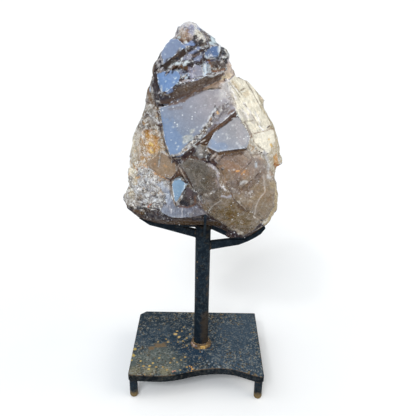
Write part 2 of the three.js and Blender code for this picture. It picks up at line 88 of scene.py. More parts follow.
class Wire:
    """A socket in a material. Sums on it add Math nodes, and node() adds any other node. FACING
    and PLACE are the outputs of a TexCoord node: which way the skin faces, and where it is."""

    def __init__(self, tree, socket=None):
        self.tree, self.socket = tree, socket

    def node(self, kind, settings=None, values=None, output=0):
        made = self.tree.nodes.new("ShaderNode" + kind)
        for name, value in (settings or {}).items():
            setattr(made, name, value)
        for name, value in (values or {}).items():
            if isinstance(value, Wire):
                self.tree.links.new(value.socket, made.inputs[name])
            else:
                made.inputs[name].default_value = value
        return Wire(self.tree, made.outputs[output])

    def sum(self, operation, *parts):
        return self.node("Math", {"operation": operation}, dict(enumerate(parts)))

    def __add__(self, other):
        return self.sum("ADD", self, other)

    def __radd__(self, other):
        return self.sum("ADD", other, self)

    def __sub__(self, other):
        return self.sum("SUBTRACT", self, other)

    def __rsub__(self, other):
        return self.sum("SUBTRACT", other, self)

    def __mul__(self, other):
        return self.sum("MULTIPLY", self, other)

    def ramp(self, low, high, start=0.0, end=1.0):
        """Runs smoothly from start to end while the value goes from low to high."""
        return self.node("MapRange", {"interpolation_type": "SMOOTHSTEP"},
                         {0: self, 1: low, 2: high, 3: start, 4: end})

    def mix(self, other, factor, blend="MIX"):
        """This colour, with another laid over it."""
        other = (*other, 1) if isinstance(other, tuple) else other
        return self.node("Mix", {"data_type": "RGBA", "blend_type": blend},
                         {0: factor, 6: self, 7: other}, output=2)

    def between(self, first, last):
        """A colour that goes from the first to the last as this value goes from 0 to 1."""
        return self.node("Mix", {"data_type": "RGBA"},
                         {0: self, 6: (*first, 1), 7: (*last, 1)}, output=2)

    def paint(self, seen_rgb, cover):
        """This colour, with another laid over it, given as it looks, 0 to 255."""
        return self.mix(light_rgb(*seen_rgb), cover)

    def part(self, index):
        """The red, green or blue of this colour."""
        return self.node("SeparateColor", {}, {0: self}, output=index)

    def rise(self, coordinates):
        """The upward part of the skin's facing or place."""
        return self.node("SeparateXYZ", {}, {0: self.node("TexCoord", output=coordinates)}, output=2)

    def bands(self, stops):
        """Flat bands of colour as this value goes from 0 to 1."""
        made = self.node("ValToRGB", {}, {0: self})
        ramp = made.socket.node.color_ramp
        while len(ramp.elements) < len(stops):
            ramp.elements.new(0.5)
        for element, (at, seen_rgb) in zip(ramp.elements, stops):
            element.position, element.color = at, (*light_rgb(*seen_rgb), 1)
        ramp.interpolation = "CONSTANT"
        return made

    def noise(self, size_mm, detail=3.0, rough=0.55, stretch=(1, 1, 1), turn=(0, 0, 0), bend=0.0):
        """Cloudy noise on the piece's own coordinates, with lumps about size_mm across."""
        scale = tuple(1 / (size_mm * MM * s) for s in stretch)
        place = self.node("TexCoord", output=PLACE)
        if any(turn):
            place = self.node("Mapping", {"vector_type": "POINT"}, {"Vector": place, "Rotation": turn})
        place = self.node("VectorMath", {"operation": "MULTIPLY"}, {0: place, 1: scale})
        return self.node("TexNoise", {}, {"Vector": place, "Scale": 1.0, "Detail": detail,
                                          "Roughness": rough, "Distortion": bend})

    def cells(self, size_mm, output=0, bend=0.0):
        """A pattern of cells about size_mm across, bent out of shape: distance 0, colour 1."""
        place = self.node("TexCoord", output=PLACE)
        if bend:
            sway = self.node("TexNoise", {}, {"Vector": place, "Scale": 1 / (size_mm * MM)}, output=1)
            sway = self.node("VectorMath", {"operation": "SUBTRACT"}, {0: sway, 1: (0.5, 0.5, 0.5)})
            sway = self.node("VectorMath", {"operation": "SCALE"},
                             {0: sway, "Scale": bend * 2 * size_mm * MM})
            place = self.node("VectorMath", {}, {0: place, 1: sway})
        return self.node("TexVoronoi", {}, {"Vector": place, "Scale": 1 / (size_mm * MM)}, output=output)

    def spot(self, place, reach_mm):
        """One at a place on the piece, and nothing reach_mm away from it."""
        away = self.node("VectorMath", {"operation": "DISTANCE"},
                         {0: self.node("TexCoord", output=PLACE), 1: place}, output=1)
        return 1 - away * (1 / (reach_mm * MM))

    def attribute(self, name):
        """The colours that the piece holds under that name."""
        return self.node("Attribute", {"attribute_name": name})


def new_material(name):
    """An empty material and the wire that starts its nodes."""
    material = bpy.data.materials.new(name)
    material.use_nodes = True
    material.node_tree.nodes.clear()
    return material, Wire(material.node_tree)


def finish_material(start, surface, volume=None):
    end = start.tree.nodes.new("ShaderNodeOutputMaterial")
    start.tree.links.new(surface.socket, end.inputs["Surface"])
    if volume:
        start.tree.links.new(volume.socket, end.inputs["Volume"])


def object_of(mesh_maker, name, material, smooth_below=None):
    """Makes a bmesh into an object at the origin, shaded smooth below the given angle."""
    mesh = bpy.data.meshes.new(name)
    mesh_maker.to_mesh(mesh)
    mesh_maker.free()
    mesh.materials.append(material)
    if smooth_below is not None:
        mesh.shade_smooth()
        mesh.set_sharp_from_angle(angle=math.radians(smooth_below))
    piece = bpy.data.objects.new(name, mesh)
    bpy.context.scene.collection.objects.link(piece)
    return piece


floor_finish, start = new_material("floor_matt")
floor_colour = start.noise(180, 4, 0.5).ramp(0.3, 0.7).between(*FLOOR_TONES)
finish_material(start, start.node("BsdfPrincipled", {}, {"Base Color": floor_colour, "Roughness": 0.9,
                                                         "Specular IOR Level": 0.1}))
floor_mesh = bmesh.new()
bmesh.ops.create_circle(floor_mesh, cap_ends=True, segments=FLOOR_SIDES, radius=FLOOR_RADIUS)
floor = object_of(floor_mesh, "studio_floor", floor_finish)

SURROUND_COLOUR = (0.93, 0.965, 1.0)
surround = bpy.data.worlds.new("surround")
surround.use_nodes = True
surround.node_tree.nodes["Background"].inputs["Color"].default_value = (*SURROUND_COLOUR, 1)
surround.node_tree.nodes["Background"].inputs["Strength"].default_value = SURROUND_STRENGTH
bpy.context.scene.world = surround

# A lamp: its colour, its strength, how many degrees wide it looks, and the way it shines.
DAYLIGHT = {
    "daylight_front": ((0.9, 0.95, 1.0), 1.35, 22, Vector((0.16, 0.75, -0.64))),
    "daylight_above": ((0.95, 0.98, 1.0), 1.2, 70, Vector((0.36, 0.21, -0.91))),
    "daylight_glint": ((1.0, 1.0, 1.0), 0.35, 5, Vector((0.35, 0.62, -0.70))),
    "daylight_right": ((1.0, 0.91, 0.78), 0.95, 50, Vector((-0.80, 0.20, -0.57))),
}
for name, (colour, strength, softness, towards) in DAYLIGHT.items():
    lamp = bpy.data.lights.new(name, "SUN")
    lamp.color, lamp.energy, lamp.angle = colour, strength, math.radians(softness)
    holder = bpy.data.objects.new(name, lamp)
    holder.rotation_mode = "QUATERNION"
    holder.rotation_quaternion = towards.to_track_quat("-Z", "Y")
    bpy.context.scene.collection.objects.link(holder)

ahead = Vector((math.sin(CAMERA_YAW) * math.cos(CAMERA_PITCH),
                math.cos(CAMERA_YAW) * math.cos(CAMERA_PITCH), -math.sin(CAMERA_PITCH)))
right = Vector((math.cos(CAMERA_YAW), -math.sin(CAMERA_YAW), 0))
up = right.cross(ahead)
rolled_right = right * math.cos(CAMERA_ROLL) + up * math.sin(CAMERA_ROLL)
rolled_up = up * math.cos(CAMERA_ROLL) - right * math.sin(CAMERA_ROLL)
camera = bpy.data.objects.new("camera", bpy.data.cameras.new("camera"))
camera.data.lens, camera.data.sensor_width = LENS_MM, SENSOR_MM
camera.data.clip_start, camera.data.clip_end = CLIP_NEAR, CLIP_FAR
turned = Matrix((rolled_right, rolled_up, -ahead)).transposed().to_4x4()
camera.matrix_world = Matrix.Translation(post_foot + CAMERA_FROM_POST) @ turned
bpy.context.scene.collection.objects.link(camera)
bpy.context.scene.camera = camera
bpy.context.scene.view_settings.view_transform = "Standard"

# ---------------------------------------------------------------- base plate
# An offcut of 12 mm hot-rolled steel plate, its front edge flame-cut in a wave. It was painted
# blue-black over pitted scale, and the paint is worn to tan rust and splashed with ochre.
BEVEL_ANGLE = math.radians(28)
FRAME_WIDTH = 416
PIXEL = SENSOR_MM / LENS_MM / FRAME_WIDTH
LEVEL, UPRIGHT = Vector((0, 0, 1)), Vector((0, 1, 0))
MERGE_MM, FLAT_ANGLE, MOST_SIDES = 0.02, math.radians(0.6), 4
STAND_SMOOTH = 40
EDGE_RUST, TIP_RUST = (88, 72, 56), (124, 104, 68)
plate_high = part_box("base_plate")[1]


def sight(across, down):
    """The line of sight through a place in the camera's frame, 416 wide."""
    return (ahead + rolled_right * (across - FRAME_WIDTH / 2) * PIXEL
            - rolled_up * (down - FRAME_WIDTH / 2) * PIXEL)


def places_on(origin, normal):
    """Gives the function that finds where a plane is seen at a place in the camera's frame."""
    def place_seen(across, down):
        line = sight(across, down)
        return camera.location + line * (origin - camera.location).dot(normal) / line.dot(normal)
    return place_seen


on_plate = places_on(plate_high, LEVEL)


def copy_of(node, corner_mm, segments=2):
    """A merged copy of a CAD node's mesh with its flat facets joined and its corners rounded."""
    mesh_maker = bmesh.new()
    mesh_maker.from_mesh(frame["nodes"][node].data)
    bmesh.ops.remove_doubles(mesh_maker, verts=mesh_maker.verts, dist=MERGE_MM * MM)
    bmesh.ops.dissolve_limit(mesh_maker, angle_limit=FLAT_ANGLE, verts=mesh_maker.verts,
                             edges=mesh_maker.edges)
    corners = [e for e in mesh_maker.edges
               if len(e.link_faces) == 2 and e.calc_face_angle(0) > BEVEL_ANGLE]
    bmesh.ops.bevel(mesh_maker, geom=corners, affect="EDGES", offset=corner_mm * MM,
                    segments=segments, profile=0.5, material=-1, clamp_overlap=True)
    bmesh.ops.triangulate(mesh_maker, faces=[f for f in mesh_maker.faces if len(f.verts) > MOST_SIDES])
    return mesh_maker


def stand_piece(mesh_maker, name, node, material):
    """Adds a piece of the stand, in place of its CAD node where it has one."""
    piece = object_of(mesh_maker, name, material, smooth_below=STAND_SMOOTH)
    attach(piece, ROOT)
    if node:
        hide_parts(node)


def iron_finish(name, paint, rust, speck, wear, sides=1.0, washes={}, splashes={}, rusty_below=0.0,
                seen_on=on_plate):
    """Worn paint on rusty iron. Paint is the dull, the fresh and the black of it, and rust the
    thin and the deep. Sides is how much of the wear shows on upright faces. Washes lie under the
    specks and splashes over them, each a colour, a strength, a reach in mm and places."""
    material, start = new_material(name)
    broad = start.noise(55, 3)
    blotch = start.noise(9.0, 4, 0.6)
    fleck = start.noise(4.2, 3, 0.6)
    dust = start.noise(2.7, 2, 0.6)
    upward = start.rise(FACING)
    shown = upward.ramp(0.5, 0.9, sides, 1.0)

    def lay(colour, marks, ragged):
        for mark_rgb, strength, reach_mm, *places in marks.values():
            cover = start.spot(seen_on(*places[0]), reach_mm)
            for place in places[1:]:
                cover = cover.sum("MAXIMUM", cover, start.spot(seen_on(*place), reach_mm))
            cover = (cover + (fleck + blotch - 1) * ragged).ramp(0.2, 0.65)
            colour = colour.paint(mark_rgb, cover * shown * strength)
        return colour

    dull, fresh, black = (light_rgb(*rgb) for rgb in paint)
    colour = blotch.ramp(0.35, 0.7).between(dull, fresh)
    colour = colour.mix(black, upward.ramp(0.9, 0.5, 0.0, 1 - sides))
    colour = lay(colour, washes, 0.7)
    worn = (fleck + (blotch - 0.5) * 0.45 + (broad - 0.5) * 0.35).ramp(wear, wear + 0.09) * shown
    colour = colour.paint(rust[0], worn * 0.85)
    deep = (fleck + (broad - 0.5) * 0.3).ramp(wear + 0.09, wear + 0.16) * shown
    colour = colour.paint(rust[1], deep)
    thick = shown * (broad + (blotch - 0.5) * 0.5).ramp(0.4, 0.6, 0.35, 0.8)
    colour = colour.paint(speck, (dust + (blotch - 0.5) * 0.3).ramp(0.55, 0.62) * thick)
    colour = colour.mix(black, (dust - (fleck - 0.5) * 0.6).ramp(0.43, 0.37) * thick * 0.8)
    corner = upward.ramp(0.2, 0.5) - upward.ramp(0.8, 0.97)
    colour = colour.paint(EDGE_RUST, corner * (blotch + fleck - 0.5).ramp(0.38, 0.55))
    colour = lay(colour, splashes, 1.3)
    if rusty_below:
        tip = (start.rise(PLACE) * (1 / MM) + (fleck - 0.5) * 12).ramp(rusty_below, rusty_below / 3)
        colour = colour.paint(TIP_RUST, tip * 0.8)
    drag = start.noise(1.3, 2, 0.5, stretch=(1, 1, 20)) * upward.ramp(0.2, 0.6, 1.0, 0.0)
    height = blotch * 0.5 + fleck * 0.35 + worn * 0.25 + drag * (1 - sides) * 1.5
    normal = start.node("Bump", {}, {"Strength": 0.5, "Distance": 0.6 * MM, "Height": height})
    surface = start.node("BsdfPrincipled", {}, {
        "Base Color": colour, "Roughness": worn.ramp(0, 1, 0.5, 0.8), "Normal": normal,
        "Specular IOR Level": 0.05, "Metallic": 0.0})
    finish_material(start, surface)
    return material


PAINT, PAINT_SPECK = ((34, 48, 60), (56, 72, 86), (4, 6, 9)), (128, 130, 124)
TAN_RUST = ((96, 92, 84), (150, 128, 88))
PLATE_WEAR, PLATE_SIDES = 0.55, 0.1
WASHES = {
    "slate_right": ((66, 80, 93), 0.75, 85, (240, 330), (240, 358)),
    "dark_corner": ((36, 47, 56), 0.6, 60, (150, 318), (180, 318)),
    "navy_pool": ((34, 52, 70), 0.8, 28, (197, 354), (190, 350)),
    "olive_left": ((92, 98, 92), 0.75, 46, (143, 362), (156, 354), (166, 364)),
    "grey_left": ((62, 74, 84), 0.6, 34, (140, 344), (160, 330)),
    "olive_front": ((124, 118, 94), 0.75, 16, (135, 371), (150, 371), (165, 371)),
}
SPLASHES = {
    "ochre_splash": ((204, 172, 112), 0.85, 4.2, (175.5, 334), (179, 337), (177, 331)),
    "ochre_flecks": ((180, 150, 94), 0.8, 2.6, (184, 327), (182, 331), (187, 338), (183, 341),
                     (178, 342), (166, 339), (158, 342), (168, 342), (190, 334), (187, 346)),
    "ochre_low": ((178, 148, 92), 0.75, 2.8, (185, 357), (181, 360), (177, 362), (187, 367),
                  (174, 358), (170, 363), (163, 367), (167, 370), (156, 367), (143, 366), (180, 370)),
    "ochre_side": ((180, 156, 84), 0.85, 4.6, (135, 349), (133, 355), (131, 360)),
    "ochre_front": ((198, 168, 100), 0.85, 3.2, (150, 366), (149, 369), (153, 363), (159, 358), (141, 361)),
    "rust_smear": ((112, 92, 68), 0.8, 9.0, (157, 346), (163, 345), (151, 348)),
    "orange_curl": ((206, 152, 82), 0.95, 2.0, (189.5, 366), (191.3, 367), (192.3, 369), (191.5, 371)),
    "rosy_mark": ((190, 136, 112), 0.9, 2.4, (173, 371.5), (175, 371)),
    "pale_scratches": ((136, 146, 152), 0.85, 2.2, (207, 361), (209, 364), (212, 362), (214, 365),
                       (219, 367)),
    "weld_spit": ((200, 210, 216), 0.95, 2.0, (200, 352), (202, 352)),
}
plate_paint = iron_finish("plate_paint", PAINT, TAN_RUST, PAINT_SPECK, PLATE_WEAR, PLATE_SIDES,
                          WASHES, SPLASHES)
PLATE_CORNER_MM = 1.4
stand_piece(copy_of("base_plate", PLATE_CORNER_MM, 3), "steel_plate", "base_plate", plate_paint)

# ---------------------------------------------------------------- feet
# Four stubs of 12 mm rod, welded under the plate's corners. Their ends are ground round and
# have rusted where the paint rubbed off on the floor.
DARK_PAINT, DARK_RUST = ((18, 28, 37), (30, 43, 54), (8, 12, 16)), ((54, 50, 44), (88, 76, 56))
FOOT_SPECK, FOOT_WEAR, FOOT_RUST_MM, FOOT_CORNER_MM = (54, 58, 56), 0.6, 15.0, 1.2
foot_paint = iron_finish("foot_paint", DARK_PAINT, DARK_RUST, FOOT_SPECK, FOOT_WEAR,
                         rusty_below=FOOT_RUST_MM)
for end in ("front", "back"):
    for side in ("left", "right"):
        node = f"foot_{end}_{side}"
        stand_piece(copy_of(node, FOOT_CORNER_MM, 3), "rod_" + node, node, foot_paint)

# ---------------------------------------------------------------- post
# A length of 22 mm round bar, stood on the plate and welded to it. It is painted with the plate,
# and brown rust shows through on its right and under the cradle.
POST_SPECK, POST_WEAR, POST_CORNER_MM = (54, 60, 62), 0.62, 0.6
POST_FRONT = Vector((0, -8 * MM, 0))
on_post = places_on(post_foot + POST_FRONT, UPRIGHT)
BARED = {
    "brown_right": ((72, 60, 46), 0.6, 14, (206, 316), (205, 322), (206, 328), (205, 334), (206, 340)),
    "brown_edge": ((64, 52, 38), 0.6, 6, (207.5, 278), (208, 286), (207.5, 294), (195, 272), (195, 300)),
    "brown_head": ((70, 60, 48), 0.6, 7, (208, 228), (207, 236), (203, 226), (203, 234)),
    "golden_flecks": ((138, 110, 72), 0.7, 2.2, (197, 278), (199, 286), (198, 307), (200, 271),
                      (203, 296), (197, 262), (204, 256), (201, 314), (202, 303)),
}
post_paint = iron_finish("post_paint", DARK_PAINT, DARK_RUST, POST_SPECK, POST_WEAR, washes=BARED,
                         seen_on=on_post)
stand_piece(copy_of("post", POST_CORNER_MM), "round_post", "post", post_paint)

# ---------------------------------------------------------------- weld at the post's foot
# A hand-run bead of weld metal all round the post's foot, laid in overlapping drops. It is left
# golden brown with rust, and specks of spatter lie near it.
DROP_SEED, DROP_SIZES, DROP_LEAN, DROP_SQUASH = 11, (0.88, 1.1), 0.4, 0.8
drops = random.Random(DROP_SEED)
weld_low, weld_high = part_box("post_weld")
on_bead = places_on((weld_low + weld_high) / 2, LEVEL)


def add_drop(mesh_maker, place, radius_mm):
    """One squashed drop of weld metal, a little out of true."""
    wide = radius_mm * MM * drops.uniform(*DROP_SIZES)
    lean = Matrix.Rotation(drops.uniform(-DROP_LEAN, DROP_LEAN), 4, Vector((drops.uniform(-1, 1), 1, 0)))
    shape = Matrix.Translation(place) @ lean @ Matrix.Diagonal((wide, wide, wide * DROP_SQUASH, 1))
    bmesh.ops.create_icosphere(mesh_maker, subdivisions=3, radius=1.0, matrix=shape)


HEAT_MARKS = {
    "golden_arc": ((216, 188, 128), 0.95, 4.4, (209.5, 338), (209, 341), (207, 344.5), (208, 336)),
    "golden_front": ((206, 168, 100), 0.95, 4.0, (204, 347), (201, 348), (206, 346)),
    "brown_left": ((110, 80, 52), 0.9, 5.5, (192, 338), (192, 341), (194, 339)),
    "rosy_left": ((206, 176, 164), 0.9, 3.4, (192.5, 343.5), (194, 345)),
    "blue_front": ((128, 136, 158), 0.9, 3.4, (197, 346), (199.5, 345.5), (203, 344.5)),
    "burnt_foot": ((22, 20, 22), 0.9, 4.0, (207, 339), (205.5, 342), (200.5, 342), (196, 341)),
}
WELD_BROWNS, WELD_SCALE = ((98, 78, 58), (150, 124, 86), (58, 46, 38)), ((84, 84, 96), (66, 50, 42))
WELD_SPECK, WELD_WEAR, WELD_SIDES = (160, 150, 130), 0.53, 0.8
weld_metal = iron_finish("weld_metal", WELD_BROWNS, WELD_SCALE, WELD_SPECK, WELD_WEAR, WELD_SIDES,
                         splashes=HEAT_MARKS, seen_on=on_bead)

# Each row of the bead: its ring's radius, how far up it lies, a drop's radius and how many drops.
BEAD_ROWS = {"outer": (11.9, 0.4, 2.1, 40), "middle": (11.2, 3.2, 2.0, 38), "inner": (10.6, 6.2, 1.8, 36)}
FRONT_PINCH, STRAY_MM = 0.2, 0.5
bead = bmesh.new()
for ring_mm, up_mm, drop_mm, count in BEAD_ROWS.values():
    for i in range(count):
        turn = math.tau * i / count
        ring = (ring_mm * (1 + FRONT_PINCH * abs(math.cos(turn))) + drops.uniform(-STRAY_MM, STRAY_MM)) * MM
        place = post_foot + Vector((ring * math.cos(turn), ring * math.sin(turn), up_mm * MM))
        add_drop(bead, place, drop_mm)
stand_piece(bead, "foot_weld", "post_weld", weld_metal)
SPATTER = {"pair": (200.5, 352), "by_left": (188, 349), "far_left": (183, 345), "by_right": (212, 349)}
SPATTER_MM = 1.3
spatter = bmesh.new()
for across, down in SPATTER.values():
    add_drop(spatter, on_plate(across, down), SPATTER_MM)
stand_piece(spatter, "weld_spatter", None, weld_metal)

# ---------------------------------------------------------------- cradle bars
# Flat bars cut and bent to the crystal's underside, welded edge-on to the post: a rail and an
# arm on each side, with a short run of painted-over weld up both sides of each joint.
RUN_DROP_MM, RUN_STEP_MM, JOINT_MM, BAR_CORNER_MM = 2.0, 2.2, 2, 0.5
post_radius = (post_high.x - post_low.x) / 2
for side, way in (("left", -1), ("right", 1)):
    for bar in ("rail", "arm"):
        node = f"{side}_{bar}"
        stand_piece(copy_of(node, BAR_CORNER_MM), f"{side}_cradle_{bar}", node, post_paint)
        low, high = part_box(node)
        inner = high.x if way < 0 else low.x
        joint = [v.co.z for v in frame["nodes"][node].data.vertices if abs(v.co.x - inner) < JOINT_MM * MM]
        run = bmesh.new()
        for face_y in (low.y, high.y):
            out = math.sqrt(post_radius ** 2 - (face_y - post_foot.y) ** 2)
            rise = max(joint) - min(joint)
            for i in range(max(2, round(rise / (RUN_STEP_MM * MM)))):
                up_to = min(joint) + (i + 0.5) * RUN_STEP_MM * MM
                add_drop(run, Vector((post_foot.x + way * out, face_y, up_to)), RUN_DROP_MM)
        stand_piece(run, f"{side}_{bar}_weld", None, post_paint)

# ---------------------------------------------------------------- prongs
# Two thin upright strips of flat bar, one before the post's head and one behind it, welded on
# and painted with it. They keep the crystal from rolling off.
PRONG_CORNER_MM = 0.3
for end in ("front", "back"):
    node = f"{end}_prong"
    stand_piece(copy_of(node, PRONG_CORNER_MM), f"{end}_cradle_prong", node, post_paint)

# ---------------------------------------------------------------- the crystal
# One natural smoky quartz crystal with stepped, satin growth faces at its point and front, and
# broken glassy ground between them. It is a single stone and only rests in the cradle.
SEAT_ABOVE_POST_FOOT = 209 * MM
SAME_SPOT_MM, CELL_MM, OCTREE_DEPTH = 0.01, 1.58, 8
STONE_SMOOTH = 30
NEAR_PLANE_MM = 0.8
NEAR_TURN = math.cos(math.radians(4))
NEAR_SKIN_MM, TURN_WORTH_MM = 1.6, 2.5
RIDGE_ANGLE = math.radians(16)
RIM_MM, HALO_MM, EDGE_STEP_MM = 4.0, 16.0, 1.0
CREASE_TURNS, CREASED_RIM = 14, 0.25
WORN_TURNS = 30
# How often the skin is smoothed where a facet's rim share is below so much.
EASINGS = ((8, 0.45), (8, 0.32), (1, 0.75))
SHEEN, DARKEST, LIGHTEST = (0.012, 0.014, 0.017), 0.004, 0.9
FLOOR_GLOW = 1.15
SKY_RAYS, LAMP_RAYS = 14, 4
RAY_START_MM, BOUNCED, BEHIND = 1.6, 0.3, -0.3
GOLDEN_TURN = math.pi * (3 - math.sqrt(5))
NOISE_SEED = 7
noise.seed_set(NOISE_SEED)
seat = post_foot + Vector((0, 0, SEAT_ABOVE_POST_FOOT))


def in_stone_mm(point):
    """A place in the scene, as mm from the seat."""
    return (point - seat) / MM


def facing(bearing, lean):
    """The way a plane faces: its bearing to the right of the front, and its lean upwards."""
    b, s = math.radians(bearing), math.radians(lean)
    return Vector((math.sin(b) * math.cos(s), -math.cos(b) * math.cos(s), math.sin(s)))


def daylight_rays():
    """The ways that daylight comes from, each with the light it brings to a facet turned to it."""
    rays = []
    for i in range(SKY_RAYS):
        height = 1 - (2 * i + 1) / SKY_RAYS
        flat = math.sqrt(1 - height ** 2)
        glow = SURROUND_STRENGTH * np.array(SURROUND_COLOUR) if height > 0 else np.full(3, FLOOR_GLOW)
        way = Vector((flat * math.cos(i * GOLDEN_TURN), flat * math.sin(i * GOLDEN_TURN), height))
        rays.append((way, glow * 4 / SKY_RAYS))
    for colour, strength, softness, towards in DAYLIGHT.values():
        back = -towards.normalized()
        aside = back.orthogonal().normalized() * math.tan(math.radians(softness / 4))
        for i in range(LAMP_RAYS):
            way = back + Matrix.Rotation(math.tau * i / LAMP_RAYS, 3, back) @ aside
            rays.append((way.normalized(), np.array(colour) * strength / math.pi / LAMP_RAYS))
    return rays


# A growth face: a point on it, its bearing and lean, its colour low left and high right, then its
# shares of satin, glitter, upright streaks, slanting striae, clearness and rim, and its relief.
# The blue in the satin faces' colours, and how it fades from low left to high right, is a painted sky
# reflection.
GROWN = {
    "knob": ((-17, -22, 262), -4, 48, (190, 170, 154), (190, 186, 198), (0.6, 0.3, 0.8, 0.0, 0.1, 0.5, 0.7)),
    "tall_left": ((-41, -37, 245), -28, 36, (138, 152, 180), (126, 144, 176), (1, 0, 0, 0, 0, 1, 0.15)),
    "low_left": ((-44, -55, 212), -22, 26, (114, 148, 194), (116, 146, 190), (1, 0.05, 0, 0, 0, 1, 0.2)),
    "right": ((6, -40, 243), 14, 30, (116, 126, 152), (86, 114, 154), (1, 0, 0, 0, 0, 1, 0.15)),
    "middle": ((-13, -57, 223), -2, 18, (140, 139, 154), (150, 152, 170), (0.7, 0.3, 0, 0, 0, 1, 0.5)),
    "low_right": ((11, -47, 228), 22, 14, (78, 66, 56), (84, 70, 60), (0.6, 0.35, 0.6, 0, 0.2, 0.8, 0.8)),
    "saddle": ((-21, -51, 238), -8, 30, (60, 51, 47), (82, 76, 80), (0.8, 0.25, 0, 0, 0, 1, 0.3)),
    "great": ((-16, -64, 161), -8, 25, (114, 140, 172), (166, 161, 166), (1, 0.03, 0, 0, 0, 1, 0.3)),
    "second": ((28, -64, 152), 6, 20, (148, 162, 184), (188, 182, 178), (1, 0.05, 0, 0, 0, 1, 0.25)),
    "bridge": ((-2, -73, 131), -4, 28, (94, 87, 76), (108, 103, 94), (0.7, 0.15, 0, 0.3, 0.2, 0.7, 0.4)),
    "kite": ((-30, -78, 84), 6, 34, (120, 152, 180), (132, 163, 190), (1, 0, 0, 0, 0, 1, 0.1)),
    "striated": ((-30, -69, 64), -12, 18, (138, 148, 166), (106, 102, 112), (0.8, 0.1, 0.9, 0, 0, 0.6, 0.35)),
    "pocket": ((-18, -73, 70), -10, 0, (42, 36, 37), (74, 64, 62), (0.6, 0.1, 0, 0.2, 0.2, 0.4, 0.5)),
    "amber": ((-54, -62, 109), -22, 6, (166, 138, 104), (160, 138, 112), (0.7, 0.08, 0, 0.4, 0.25, 0.4, 0.5)),
    "shoulder": ((45, -50, 175), 45, 24, None, None, (0.4, 0.15, 0, 0.5, 0, 0.35, 0.9)),
    "under_shoulder": ((71, -45, 138), 36, 10, None, None, (0.5, 0.05, 0, 0, 0, 0.5, 0.6)),
    "right_mass": ((58, -62, 79), 18, 2, None, None, (0.6, 0.14, 0, 0.8, 0.4, 0.2, 0.8)),
    "kneecap": ((33, -69, 121), 8, 6, None, None, (0.6, 0.14, 0, 0.8, 0.35, 0.3, 0.7)),
    "olive": ((-5, -71, 97), -4, 8, None, None, (0.7, 0.1, 0, 0.6, 0.35, 0.3, 0.5)),
    "toe_front": ((28, -69, 52), 6, -14, None, None, (0.5, 0.15, 0, 0.5, 0.4, 0.2, 0.8)),
    "golden": ((-69, -44, 134), -40, 8, None, None, (0.3, 0.6, 0, 0, 0.1, 0.4, 1.1)),
    "grey_cheek": ((-66, -40, 167), -36, 16, None, None, (0.3, 0.6, 0, 0, 0.1, 0.5, 1.2)),
    "lower_cheek": ((-79, -53, 73), -34, 2, None, None, (0.2, 1.0, 0, 0, 0.1, 0.3, 1.3)),
    "right_flank": ((97, 16, 116), 104, 10, None, None, (0.5, 0.15, 0, 0.4, 0.35, 0.3, 0.9)),
    "left_flank": ((-97, 16, 104), -104, 8, None, None, (0.5, 0.22, 0, 0.3, 0.3, 0.3, 1.0)),
    "back_great": ((-14, 70, 118), 172, 14, (112, 114, 122), (140, 130, 124),
                   (0.8, 0.1, 0.4, 0, 0.1, 1, 0.6)),
    "back_low": ((34, 60, 58), 160, -8, None, None, (0.6, 0.1, 0, 0.4, 0.4, 0.3, 0.8)),
    "back_left": ((-56, 54, 92), 214, 4, None, None, (0.6, 0.12, 0, 0.4, 0.35, 0.3, 0.8)),
    "back_right": ((56, 52, 136), 140, 18, None, None, (0.6, 0.12, 0, 0.3, 0.3, 0.4, 0.8)),
    "back_crown": ((-16, 38, 216), 178, 34, (112, 122, 142), (132, 128, 134), (1, 0.06, 0.3, 0, 0, 1, 0.4)),
}

# Broken ground between the faces: its own colours, or none where the body's colour runs through.
# The slivers' blue is a painted sky reflection, and the under and undercut ground is darkened as painted
# shade.
BROKEN = {
    "brim": (((84, 66, 50), (76, 60, 46), (88, 70, 54)), (0.8, 0.08, 0.25, 0, 0.05, 0.5, 0.4)),
    "riser": (((46, 35, 29), (60, 46, 37), (38, 32, 31)), (0.7, 0.15, 0.3, 0, 0.05, 0.5, 0.5)),
    "sliver": (((146, 156, 190), (165, 160, 168), (200, 206, 216), (112, 104, 104)),
               (0.6, 0.45, 0, 0, 0, 0.9, 0.6)),
    "undercut": (((66, 46, 35), (78, 56, 42), (54, 42, 34)), (0.6, 0.08, 0.3, 0, 0.08, 0.3, 0.4)),
    "grain": (None, (0.3, 1.0, 0, 0, 0, 0.4, 1.0)),
    "side": (None, (0.35, 0.5, 0, 0.1, 0.1, 0.4, 1.2)),
    "rear": (None, (0.5, 0.12, 0, 0.35, 0.3, 0.4, 0.9)),
    "under": (((52, 40, 30), (66, 51, 36), (40, 32, 26)), (0.6, 0.1, 0, 0, 0.03, 0.1, 0.8)),
}
